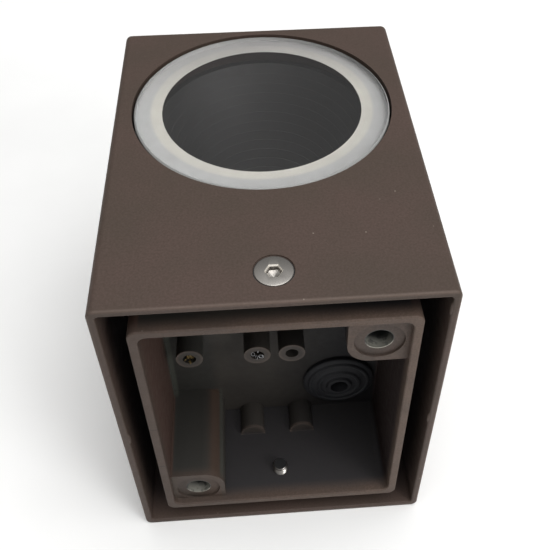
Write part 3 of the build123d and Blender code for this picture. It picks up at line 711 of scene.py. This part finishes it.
# %% Draw the mould's hairlines
on_rim = add_node(tree, "ShaderNodeMath", {0: axes["Y"], 1: 2.0 * MM}, operation="LESS_THAN")
on_left = add_node(tree, "ShaderNodeMath", {0: axes["X"], 1: -41.5 * MM}, operation="LESS_THAN")
left_rim = add_node(tree, "ShaderNodeMath", {0: on_rim, 1: on_left}, operation="MULTIPLY")
wander = add_node(
    tree, "ShaderNodeTexNoise", {"Vector": place, "Scale": 1000 / 1.5, "Detail": 2.0}
)
wandering = add_node(
    tree, "ShaderNodeMath", {0: wander, 1: 0.5 * MM, 2: axes["Z"]}, operation="MULTIPLY_ADD"
)
for height in (4.5, -20.5):
    off = add_node(tree, "ShaderNodeMath", {0: wandering, 1: height * MM}, operation="SUBTRACT")
    off_line = add_node(tree, "ShaderNodeMath", {0: off}, operation="ABSOLUTE")
    fine = add_node(
        tree,
        "ShaderNodeMapRange",
        {
            "Value": off_line,
            "From Min": 0.1 * MM,
            "From Max": 0.3 * MM,
            "To Min": 0.7,
            "To Max": 0.0,
        },
    )
    hairline = add_node(tree, "ShaderNodeMath", {0: fine, 1: left_rim}, operation="MULTIPLY")
    colour = add_node(
        tree, "ShaderNodeMix", {
            "Factor": hairline, "A": colour, "B": linear("211916")
        }, data_type="RGBA"
    )
set_inputs(shader, {"Base Color": colour, "Metallic": metal_shown})
print("finish", pocket_coat.name)

# %% [markdown]
# ### Glass and its printed border
# The window is clear float glass, and its edge is ground to a grey matt slope. Its border is a
# ceramic ink, screen printed on the underside and fired on: matt and warm pale grey. Its outer
# band is painted cooler and darker as painted shade from the edge of the hole, and its side away
# from the wall is painted darker as painted shade. The print sits a little off centre. The glass
# lets shadow rays pass, so the inside is lit.

# %% Make glass and ink
float_glass, tree, shader, place = new_finish("toughened_float_glass")
set_inputs(
    shader,
    {"Base Color": linear("F7F6F6"), "Roughness": 0.02, "IOR": 1.52, "Transmission Weight": 1.0},
)
light_path = add_node(tree, "ShaderNodeLightPath")
clear = add_node(tree, "ShaderNodeBsdfTransparent", {"Color": linear("F6F5F5")})
choice = add_node(
    tree, "ShaderNodeMixShader", {0: light_path.outputs["Is Shadow Ray"], 1: shader, 2: clear}
)
set_inputs(tree.nodes["Material Output"], {"Surface": choice})

ground_glass, tree, shader, place = new_finish("ground_glass")
grit = add_node(tree, "ShaderNodeTexNoise", {"Vector": place, "Scale": 1000 / 0.3, "Detail": 3.0})
frost = add_node(
    tree, "ShaderNodeMix", {
        "Factor": grit, "A": linear("A6A6A4"), "B": linear("878886")
    }, data_type="RGBA"
)
frost_skin = add_node(
    tree, "ShaderNodeBump", {"Height": grit, "Distance": 0.01 * MM, "Strength": 0.4}
)
set_inputs(shader, {"Base Color": frost, "Roughness": 0.5, "IOR": 1.52, "Normal": frost_skin})

ink_shift = 1.7 * MM
ceramic_ink, tree, shader, place = new_finish("fired_ceramic_ink")
away = from_line(tree, place, (0, glass_middle.y + ink_shift, 0), along_z)
# Painted shade: the ink's outer band is painted cooler and darker.
painted_ink_edge_shade = add_node(
    tree,
    "ShaderNodeMapRange",
    {"Value": away, "From Min": 41.0 * MM, "From Max": 42.8 * MM},
    interpolation_type="SMOOTHSTEP",
)
ink = add_node(
    tree, "ShaderNodeMix", {
        "Factor": painted_ink_edge_shade, "A": linear("ACABA3"), "B": linear("9B9D9C")
    }, data_type="RGBA"
)
across_ink = add_node(tree, "ShaderNodeSeparateXYZ", {"Vector": place})
# Painted shade: the side of the border away from the wall is painted darker.
painted_far_shade = add_node(
    tree,
    "ShaderNodeMapRange",
    {"Value": across_ink.outputs["Y"], "From Min": 105 * MM, "From Max": 142 * MM, "To Max": 0.75},
)
fired = add_node(
    tree, "ShaderNodeMix", {"Factor": painted_far_shade, "A": ink, "B": linear("777675")}, data_type="RGBA"
)
mottle = add_node(
    tree, "ShaderNodeTexNoise", {"Vector": place, "Scale": 1000 / 5.0, "Detail": 3.0}
)
mottled = add_node(
    tree,
    "ShaderNodeMapRange",
    {"Value": mottle, "From Min": 0.3, "From Max": 0.7, "To Max": 0.18},
)
print_colour = add_node(
    tree, "ShaderNodeMix", {"Factor": mottled, "A": fired, "B": linear("7C7D7A")}, data_type="RGBA"
)
set_inputs(shader, {"Base Color": print_colour, "Roughness": 0.7})
print("finishes", float_glass.name, ground_glass.name, ceramic_ink.name)

# %% [markdown]
# ### Metals
# The cover screws are turned stainless steel, with fine rings from the lathe on their heads.
# The small screws are steel with bright zinc, the terminal's are zinc with yellow
# passivation, the heat sink is pressed aluminium and the clamps are brass. A metal's colour is
# its mirror colour, and its roughness says how finely it was finished.

# %% Make the metals
def metal(name, colour, darker, roughness, size_mm, stretch=(1.0, 1.0, 1.0)):
    """A bare metal with a fine pattern from how it was finished."""
    material, tree, shader, place = new_finish(name)
    drawn = add_node(tree, "ShaderNodeMapping", {"Vector": place, "Scale": stretch})
    pattern = add_node(
        tree, "ShaderNodeTexNoise", {"Vector": drawn, "Scale": 1000 / size_mm, "Detail": 3.0}
    )
    tone = add_node(
        tree, "ShaderNodeMix", {
            "Factor": pattern, "A": linear(colour), "B": linear(darker)
        }, data_type="RGBA"
    )
    rough = add_node(
        tree,
        "ShaderNodeMapRange",
        {
            "Value": pattern,
            "From Min": 0.3,
            "From Max": 0.7,
            "To Min": roughness - 0.06,
            "To Max": roughness + 0.06,
        },
    )
    skin = add_node(
        tree, "ShaderNodeBump", {"Height": pattern, "Distance": 0.01 * MM, "Strength": 0.5}
    )
    set_inputs(shader, {"Base Color": tone, "Metallic": 1.0, "Roughness": rough, "Normal": skin})
    return material, tree, shader, place


stainless, tree, shader, place = metal("turned_stainless_steel", "B3AFAA", "918D88", 0.34, 0.4)
on_screw = add_node(
    tree, "ShaderNodeVectorMath", {
        0: place, 1: (screw_middle.x, screw_middle.y, 0)
    }, operation="SUBTRACT"
)
lathe_pitch = 0.25
wave_length = 2 * pi / 20
lathe = add_node(
    tree,
    "ShaderNodeTexWave",
    {"Vector": on_screw, "Scale": wave_length * 1000 / lathe_pitch, "Distortion": 0.6},
    wave_type="RINGS",
    rings_direction="Z",
)
lathe_skin = add_node(
    tree, "ShaderNodeBump", {"Height": lathe, "Distance": 0.004 * MM, "Strength": 0.6}
)
set_inputs(shader, {"Normal": lathe_skin})
# Painted highlight: a near-white steel for the socket's mouth and the head's edge.
painted_highlight_steel = metal("painted_highlight_steel_edge", "F4EFE6", "DCD6CC", 0.55, 0.4)[0]
# Painted reflection: a dark steel for the screw's cut end, standing in for the dark pocket it
# reflects.
dark_reflection_steel = metal("painted_dark_reflection_steel", "5C5D5E", "464748", 0.45, 0.3)[0]
bright_zinc = metal("zinc_plated_steel", "B9BBBC", "9C9EA1", 0.3, 0.8)[0]
yellow_zinc = metal("yellow_passivated_zinc", "8F7B52", "5F5136", 0.42, 0.5)[0]
pressed_aluminium = metal("pressed_aluminium", "C4C5C7", "B0B1B4", 0.42, 0.6, (1.0, 0.1, 1.0))[0]
turned_brass = metal("turned_brass", "C9A45C", "AD8745", 0.3, 0.6)[0]
tin_solder = metal("tin_solder", "C8C9CA", "B2B4B6", 0.25, 0.5)[0]
metals = (
    stainless,
    painted_highlight_steel,
    dark_reflection_steel,
    bright_zinc,
    yellow_zinc,
    pressed_aluminium,
    turned_brass,
    tin_solder,
)
print("metals", [finish.name for finish in metals])

# %% [markdown]
# ### Plastics and rubber
# Moulded parts take the skin of their mould: matt and very finely grained for the baffles, a
# little glossier for polyamide. Rubber is dull and nearly black. Silicone is grey and waxy.

# %% Make plastics and rubber
def moulded(name, colour, second, roughness, size_mm, depth_mm=0.02):
    """A moulded plastic or rubber with the skin of its mould."""
    material, tree, shader, place = new_finish(name)
    skin = add_node(
        tree, "ShaderNodeTexNoise", {"Vector": place, "Scale": 1000 / size_mm, "Detail": 3.0}
    )
    flow = add_node(
        tree,
        "ShaderNodeTexNoise",
        {"Vector": place, "Scale": 1000 / (12 * size_mm), "Detail": 2.0},
    )
    tone = add_node(
        tree, "ShaderNodeMix", {
            "Factor": flow, "A": linear(colour), "B": linear(second)
        }, data_type="RGBA"
    )
    rough = add_node(
        tree,
        "ShaderNodeMapRange",
        {
            "Value": skin,
            "From Min": 0.3,
            "From Max": 0.7,
            "To Min": roughness - 0.05,
            "To Max": roughness + 0.05,
        },
    )
    grain = add_node(
        tree, "ShaderNodeBump", {"Height": skin, "Distance": depth_mm * MM, "Strength": 0.4}
    )
    set_inputs(shader, {"Base Color": tone, "Roughness": rough, "Normal": grain})
    return material


epdm = moulded("moulded_epdm_rubber", "15161B", "1D1D21", 0.68, 0.5)
black_baffle = moulded("moulded_black_polycarbonate", "0C0D0D", "131413", 0.6, 0.6)
# A paler copy of the baffle's black, used near the mouth as painted light.
painted_light_baffle = moulded("painted_light_black_polycarbonate", "2B2A26", "242320", 0.7, 0.8)
black_polyamide = moulded("moulded_black_polyamide", "1A1A1B", "252526", 0.45, 0.4)
white_polyamide = moulded("moulded_white_polyamide", "DAD7CE", "CBC7BB", 0.42, 0.5)
silicone = moulded("cast_grey_silicone", "ABADAE", "9DA0A1", 0.6, 0.8)
white_silicone = moulded("white_dam_silicone", "E3E3DF", "D8D8D2", 0.5, 0.4)
solder_mask = moulded("white_solder_mask", "E7E7E2", "DBDBD5", 0.35, 0.3, 0.005)
phosphor = moulded("phosphor_in_silicone", "DBB43E", "CBA12B", 0.4, 0.3, 0.01)
plastics = (black_baffle, painted_light_baffle, black_polyamide, white_polyamide, solder_mask)
rubbers = (epdm, silicone, white_silicone, phosphor)
print("plastics and rubbers", [finish.name for finish in plastics + rubbers])

# %% Put finishes on the solids that stay
finishes = {
    "housing": housing_coat,
    "wall_base": pocket_coat,
    "base_gasket": epdm,
    "sealing_frame_gasket": epdm,
    "sealing_frame": pressed_aluminium,
    "heat_sink": pressed_aluminium,
    "driver": white_polyamide,
    "driver_pad": silicone,
    "terminal_block": white_polyamide,
    "terminal_clamps": turned_brass,
    "earth_washer": turned_brass,
    "cable_clamp": black_polyamide,
    "terminal_block_screws": yellow_zinc,
    "cable_grommet": epdm,
}
for side in ("upper", "lower"):
    finishes[f"{side}_baffle"] = black_baffle
    finishes[f"{side}_glass_seal"] = silicone
    finishes[f"{side}_led_board"] = solder_mask
    finishes[f"{side}_led_chip"] = phosphor
    finishes[f"{side}_sealing_cup"] = black_polyamide
    finishes[f"{side}_glass"] = float_glass
    finishes[f"{side}_cover_screw"] = stainless
for name, node in nodes.items():
    finish = finishes.get(name, bright_zinc)
    node.data.materials.clear()
    node.data.materials.append(finish)
print("solids with a finish", len(nodes))

# %% [markdown]
# ## The glasses
# Each glass is a disc cut from float glass and ground to a narrow slope round its upper edge,
# which catches the light as a thin bright crescent. A disc with one ring of faces for each
# slope is enough. It lies loose in its seat, so it has slipped a little towards the wall.

# %% Make the glasses
low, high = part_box("upper_glass")
glass_gap = 0.25 * MM
glass_slip = 0.45 * MM
glass_radius = (high.x - low.x) / 2 - glass_gap
glass_place = (0, glass_middle.y - glass_slip, 0)
glass_slope = 0.55 * MM
eased = 0.25 * MM
upper_glass = turned(
    "upper_window",
    [
        (glass_radius - eased, low.z),
        (glass_radius, low.z + eased),
        (glass_radius, high.z - glass_slope),
        (glass_radius - glass_slope, high.z),
    ],
    sides=256,
)
placed(upper_glass, glass_place)
only(upper_glass)
bpy.ops.object.shade_smooth_by_angle(angle=radians(20))
upper_glass.data.materials.append(float_glass)
upper_glass.data.materials.append(ground_glass)
for face in upper_glass.data.polygons:
    face.material_index = 0 if abs(face.normal.z) > 0.9 else 1
lower_glass = lower_twin(upper_glass, "lower_window")
fitted(upper_glass, "luminaire", "glass", None, "upper_glass")
fitted(lower_glass, "luminaire", "glass", None, "lower_glass")

# %% [markdown]
# The border is a thin closed ring just under the glass. Its opening sits off centre, as the
# print does, so the ring's inner walls are selected by their normals and slid over.

# %% Print the borders
ink_inner = 37.6 * MM
ink_margin = 0.8 * MM
ink_gap = 0.004 * MM
ink_thickness = 0.03 * MM
ink_outer = glass_radius - ink_margin
ink_top = low.z - ink_gap
ink_bottom = ink_top - ink_thickness
upper_ink = turned(
    "upper_border",
    [
        (ink_inner, ink_top),
        (ink_outer, ink_top),
        (ink_outer, ink_bottom),
        (ink_inner, ink_bottom),
        (ink_inner, ink_top),
    ],
    sides=256,
    through=True,
)
start()
for face in upper_ink.data.polygons:
    inwards = face.normal.x * face.center.x + face.normal.y * face.center.y < 0
    face.select = abs(face.normal.z) < 0.5 and inwards
only(upper_ink)
bpy.ops.object.mode_set(mode="EDIT")
bpy.ops.transform.translate(value=(0, ink_shift, 0))
bpy.ops.object.mode_set(mode="OBJECT")
placed(upper_ink, glass_place)
lower_ink = lower_twin(upper_ink, "lower_border")
fitted(upper_ink, "luminaire", "glass", ceramic_ink)
fitted(lower_ink, "luminaire", "glass", ceramic_ink)

# %% [markdown]
# ## Behind the glasses
# A black baffle narrows towards the light source, and small steps down its inside keep stray
# light from the edge of the window. The steps are one lining, turned from a staircase profile.
# The source is a round yellow chip inside a white dam, with two solder joints on its board.

# %% Step the baffles
low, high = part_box("upper_baffle")
throat = 16.4 * MM
throat_height = low.z
mouth = 40.0 * MM
mouth_height = high.z - 0.3 * MM
step_count = 14
step_in = 0.3 * MM
lift = 0.1 * MM
rise = (mouth_height - throat_height) / step_count
spread = (mouth - throat) / step_count
stairs = []
for step in range(step_count):
    radius = throat + step * spread - step_in / 2
    stairs.append((radius, throat_height + step * rise + lift))
    stairs.append((radius + spread - 0.01 * MM, throat_height + (step + 0.12) * rise + lift))
stairs.append((mouth - 0.2 * MM, mouth_height))
stairs.append((mouth + 0.5 * MM, mouth_height))
stairs.append((throat + 0.5 * MM, throat_height + lift))
stairs.append(stairs[0])
upper_steps = turned("upper_baffle_steps", stairs, through=True)
placed(upper_steps, (0, glass_middle.y, 0))
# Painted light: the top three steps near the mouth take the paler black.
upper_steps.data.materials.append(black_baffle)
upper_steps.data.materials.append(painted_light_baffle)
for face in upper_steps.data.polygons:
    face.material_index = 1 if face.center.z > mouth_height - 3 * rise else 0
lower_steps = lower_twin(upper_steps, "lower_baffle_steps")
fitted(upper_steps, "luminaire", "black_baffle", None)
fitted(lower_steps, "luminaire", "black_baffle", None)

# %% Make the source's dam and solder
chip_low, chip_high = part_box("upper_led_chip")
board_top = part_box("upper_led_board")[1].z
chip_radius = (chip_high.x - chip_low.x) / 2
dam_top = chip_high.z + 0.15 * MM
dam = turned(
    "upper_source_dam",
    [
        (chip_radius, board_top),
        (chip_radius + 0.95 * MM, board_top),
        (chip_radius + 0.85 * MM, dam_top - 0.3 * MM),
        (chip_radius + 0.6 * MM, dam_top - 0.05 * MM),
        (chip_radius + 0.4 * MM, dam_top),
        (chip_radius + 0.15 * MM, dam_top - 0.1 * MM),
        (chip_radius, dam_top - 0.4 * MM),
        (chip_radius, board_top),
    ],
    through=True,
)
joints = []
for x in (-11.5 * MM, 11.5 * MM):
    joint = turned(
        "solder_joint",
        [
            (1.5 * MM, 0),
            (1.42 * MM, 0.12 * MM),
            (1.0 * MM, 0.34 * MM),
            (0.5 * MM, 0.5 * MM),
            (0.1 * MM, 0.55 * MM),
        ],
        sides=48,
    )
    joints.append(placed(joint, (x, glass_middle.y, board_top)))
upper_solder = joined(joints, "upper_solder_joints")
placed(dam, (0, glass_middle.y, 0))
for piece, finish, slot in (
    (dam, white_silicone, "silicone"), (upper_solder, tin_solder, "zinc_plated_steel")
):
    only(piece)
    bpy.ops.object.shade_smooth_by_angle(angle=radians(40))
    twin = lower_twin(piece, piece.name.replace("upper", "lower"))
    fitted(piece, "luminaire", slot, finish)
    fitted(twin, "luminaire", slot, finish)

# %% [markdown]
# ## The cover screws
# Each is an M6 countersunk screw, turned and then rolled: a flat head with a small edge, a
# cone, and a shank with a real helical thread of 1 mm pitch. The socket is cut by a six-sided
# punch with a flared mouth. The thread is a four-sided bar wound round the shank, because a
# wound bar gives true crests that catch the light.

# %% Make a thread
def thread(name, root, height, pitch, turns, bottom):
    """A closed ridge wound right-handed round the Z axis."""
    start()
    bpy.ops.mesh.primitive_circle_add(
        vertices=4, radius=1.0, fill_type="NOTHING", location=(root, 0, bottom), rotation=(
            pi / 2, 0, 0
        )
    )
    piece = bpy.context.object
    piece.name = name
    piece.scale = (height, pitch * 0.46, 1)
    bpy.ops.object.transform_apply(location=True, rotation=True, scale=True)
    winding = piece.modifiers.new("winding", "SCREW")
    winding.axis = "Z"
    winding.angle = 2 * pi
    winding.screw_offset = pitch
    winding.iterations = turns
    winding.steps = 32
    winding.render_steps = 32
    bpy.ops.object.modifier_apply(modifier=winding.name)
    bpy.ops.object.mode_set(mode="EDIT")
    bpy.ops.mesh.select_all(action="SELECT")
    bpy.ops.mesh.fill_holes(sides=4)
    tidy_mesh()
    bpy.ops.object.mode_set(mode="OBJECT")
    return piece


# %% Make the cover screws
low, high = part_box("upper_cover_screw")
head = (high.x - low.x) / 2
head_top = high.z
tip = low.z
shank = 2.93 * MM
thread_depth = 0.55 * MM
root = shank - thread_depth
cone_start = head_top - 0.35 * MM
body = turned(
    "screw_body",
    [
        (head - 0.35 * MM, head_top),
        (head - 0.08 * MM, head_top - 0.08 * MM),
        (head, head_top - 0.26 * MM),
        (head, cone_start),
        (shank, cone_start - (head - shank)),
        (shank, cone_start - (head - shank) - 0.8 * MM),
        (root, cone_start - (head - shank) - 1.4 * MM),
        (root, tip + 0.8 * MM),
        (2.62 * MM, tip + 0.55 * MM),
        (2.55 * MM, tip + 0.2 * MM),
        (2.35 * MM, tip),
    ],
    sides=96,
)
socket = turned(
    "socket_punch",
    [
        (0.2 * MM, head_top - 2.9 * MM),
        (2.45 * MM, head_top - 2.1 * MM),
        (2.45 * MM, head_top - 0.45 * MM),
        (3.05 * MM, head_top + 0.15 * MM),
    ],
    sides=6,
)
placed(socket, turn=(0, 0, pi / 6))
body = punched(body, socket)
thread_start = tip + 1.0 * MM
thread_turns = 10
ridge = thread("screw_thread", root, thread_depth, 1.0 * MM, thread_turns, thread_start)
upper_screw = joined([body, ridge], "upper_countersunk_screw")
only(upper_screw)
bpy.ops.object.shade_smooth_by_angle(angle=radians(25))
upper_screw.data.materials.append(stainless)
upper_screw.data.materials.append(dark_reflection_steel)
upper_screw.data.materials.append(painted_highlight_steel)
for face in upper_screw.data.polygons:
    # Painted reflection: the cut end takes the dark steel.
    cut_off = face.normal.z < -0.99 and face.center.z < tip + 0.05 * MM
    # Painted highlight: the sloping faces of the socket's mouth and the head's edge take the
    # near-white steel.
    sloping = 0.15 < face.normal.z < 0.95 and face.center.z > head_top - 0.5 * MM
    face.material_index = 1 if cut_off else 2 if sloping else 0
placed(upper_screw, (screw_middle.x, screw_middle.y, 0))
lower_screw = lower_twin(upper_screw, "lower_countersunk_screw")
fitted(upper_screw, "upper_screw", "stainless_steel", None, "upper_cover_screw")
fitted(lower_screw, "lower_screw", "stainless_steel", None, "lower_cover_screw")

# %% [markdown]
# ## Locating pips
# Three small rounded swellings stand on the inner edge of the housing's rim. They are left by
# the casting, and they keep the wall base centred. Each is spindle-shaped, so it is turned,
# then sunk halfway into the rim.

# %% Make the pips
pip_length = 7.0 * MM
pip_depth = 0.75 * MM
inner_face = half.x - skirt_wall
pip_places = ((-inner_face, -1.5 * MM), (inner_face, 0), (inner_face, 60 * MM))
pips = []
for x, z in pip_places:
    pip = turned(
        "pip",
        [
            (0.1 * pip_depth, -0.5 * pip_length),
            (0.55 * pip_depth, -0.38 * pip_length),
            (0.9 * pip_depth, -0.2 * pip_length),
            (pip_depth, 0),
            (0.9 * pip_depth, 0.2 * pip_length),
            (0.55 * pip_depth, 0.38 * pip_length),
            (0.1 * pip_depth, 0.5 * pip_length),
        ],
        sides=32,
    )
    pips.append(placed(pip, (x, pip_depth + 0.1 * MM, z)))
casting_pips = joined(pips, "casting_pips")
only(casting_pips)
bpy.ops.object.shade_smooth_by_angle(angle=radians(50))
fitted(casting_pips, "luminaire", "powder_coat", housing_coat)

# %% [markdown]
# ## The cable grommet
# The mains cable enters through a moulded rubber grommet that snaps into the floor of the
# pocket. It has stepped rings round a central collar, so it is turned from one closed profile,
# and its edges are rounded as soft rubber is.

# %% Make the grommet
low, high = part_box("cable_grommet")
grommet_middle = (low + high) / 2
collar_height = 4.6
floor_back = low.y + collar_height * MM
grommet_rings = [
    # radius and height over the floor, in mm
    (3.5, collar_height), (4.9, collar_height), (5.4, 3.5), (7.2, 3.3), (7.7, 3.9), (8.5, 3.9),
    (9.1, 3.1), (11.2, 2.6), (11.7, 3.0), (12.4, 2.9), (12.9, 2.1), (14.0, 1.9), (14.6, 1.4),
    (14.6, 0.05), (11.9, 0.05), (11.9, -3.05), (13.4, -3.05), (13.3, -4.4), (12.3, -5.4),
    (3.5, -5.4), (3.5, collar_height),
]
grommet_steps = [(r * MM, h * MM) for r, h in grommet_rings]
grommet = turned("cable_grommet_rings", grommet_steps, through=True)
rounded(grommet, 0.12 * MM, 2, 30)
placed(grommet, (grommet_middle.x, floor_back, grommet_middle.z), (pi / 2, 0, 0))
fitted(grommet, "luminaire", "rubber_seal", epdm, "cable_grommet")

# %% [markdown]
# ## The terminal block's screws
# Two long screws come through the floor from the front and end inside two of the bosses.
# They cut their own thread in the soft casting, so their ends taper, and bright curled chips
# stay behind in the holes. A chip is a very short and loose thread winding.

# %% Make the terminal screws
low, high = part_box("terminal_block_screws")
pan_head = 4.4 * MM
screw_places = (low.x + pan_head, high.x - pan_head)
head_front = high.y
screw_height = middle("terminal_block_screws").z
shank_end = low.y
pan_screws = []
for number, x in enumerate(screw_places):
    pan = turned(
        "pan_body",
        [
            (2.0 * MM, 0.0),
            (3.6 * MM, -0.35 * MM),
            (4.2 * MM, -1.1 * MM),
            (pan_head, -2.0 * MM),
            (pan_head, -3.0 * MM),
            (2.05 * MM, -3.0 * MM),
            (2.0 * MM, -(head_front - shank_end) + 4.0 * MM),
            (1.1 * MM, -(head_front - shank_end)),
        ],
        sides=64,
    )
    cross = turned(
        "cross_punch", [
            (0.5 * MM, -1.9 * MM), (1.5 * MM, -1.2 * MM), (2.2 * MM, 0.2 * MM)
        ], sides=4
    )
    pan = punched(pan, cross)
    rib = thread(
        "pan_thread", 1.95 * MM, 0.42 * MM, 0.8 * MM, 21, -(head_front - shank_end) + 2.6 * MM
    )
    pan_screw = joined([pan, rib], f"terminal_screw_{number + 1}")
    only(pan_screw)
    bpy.ops.object.shade_smooth_by_angle(angle=radians(30))
    placed(pan_screw, (x, head_front, screw_height), (-pi / 2, 0, number * 0.6))
    pan_screws.append(pan_screw)
for number, pan_screw in enumerate(pan_screws):
    replaced = ("terminal_block_screws",) if number == 0 else ()
    fitted(pan_screw, "luminaire", "zinc_plated_steel", yellow_zinc, *replaced)

# %% Leave the chips in the bosses
chip_ring = 1.6 * MM
chip_turns = ((0.4, 0.3, 1.1), (2.1, 0.9, 0.2), (3.6, -0.5, 0.7), (5.0, 0.2, 2.0))
chip_finishes = ((yellow_zinc, "zinc_plated_steel"), (pressed_aluminium, "bare_aluminium"))
for boss, x in enumerate(screw_places):
    chips = []
    for number, (angle, tilt, spin) in enumerate(chip_turns):
        chip = thread("chip", (0.5 + 0.12 * number) * MM, 0.12 * MM, 0.3 * MM, 1 + number % 2, 0.0)
        angle = angle + boss
        back_from_face = (0.2 + 0.25 * number) * MM
        chips.append(
            placed(
                chip,
                (
                    x + chip_ring * cos(angle),
                    shank_end - back_from_face,
                    screw_height + chip_ring * sin(angle),
                ),
                (pi / 2 + tilt, spin, angle),
            )
        )
    swarf = joined(chips, f"thread_chips_{boss + 1}")
    finish, slot = chip_finishes[boss]
    fitted(swarf, "luminaire", slot, finish)

# %% [markdown]
# ## The floor
# The light stands on its lower face on a plain pale sheet, much larger than the view.

# %% Lay the floor
start()
bpy.ops.mesh.primitive_plane_add(size=8.0, location=(0, 0, cad_low.z))
floor = bpy.context.object
floor.name = "floor"
floor_finish, tree, shader, place = new_finish("matt_white_paper")
pulp = add_node(tree, "ShaderNodeTexNoise", {"Vector": place, "Scale": 1000 / 40.0, "Detail": 2.0})
paper = add_node(
    tree, "ShaderNodeMix", {
        "Factor": pulp, "A": linear("F7F7F6"), "B": linear("F2F2F1")
    }, data_type="RGBA"
)
set_inputs(shader, {"Base Color": paper, "Roughness": 0.9})
floor.data.materials.append(floor_finish)
print("floor height in mm", round(cad_low.z / MM, 2))
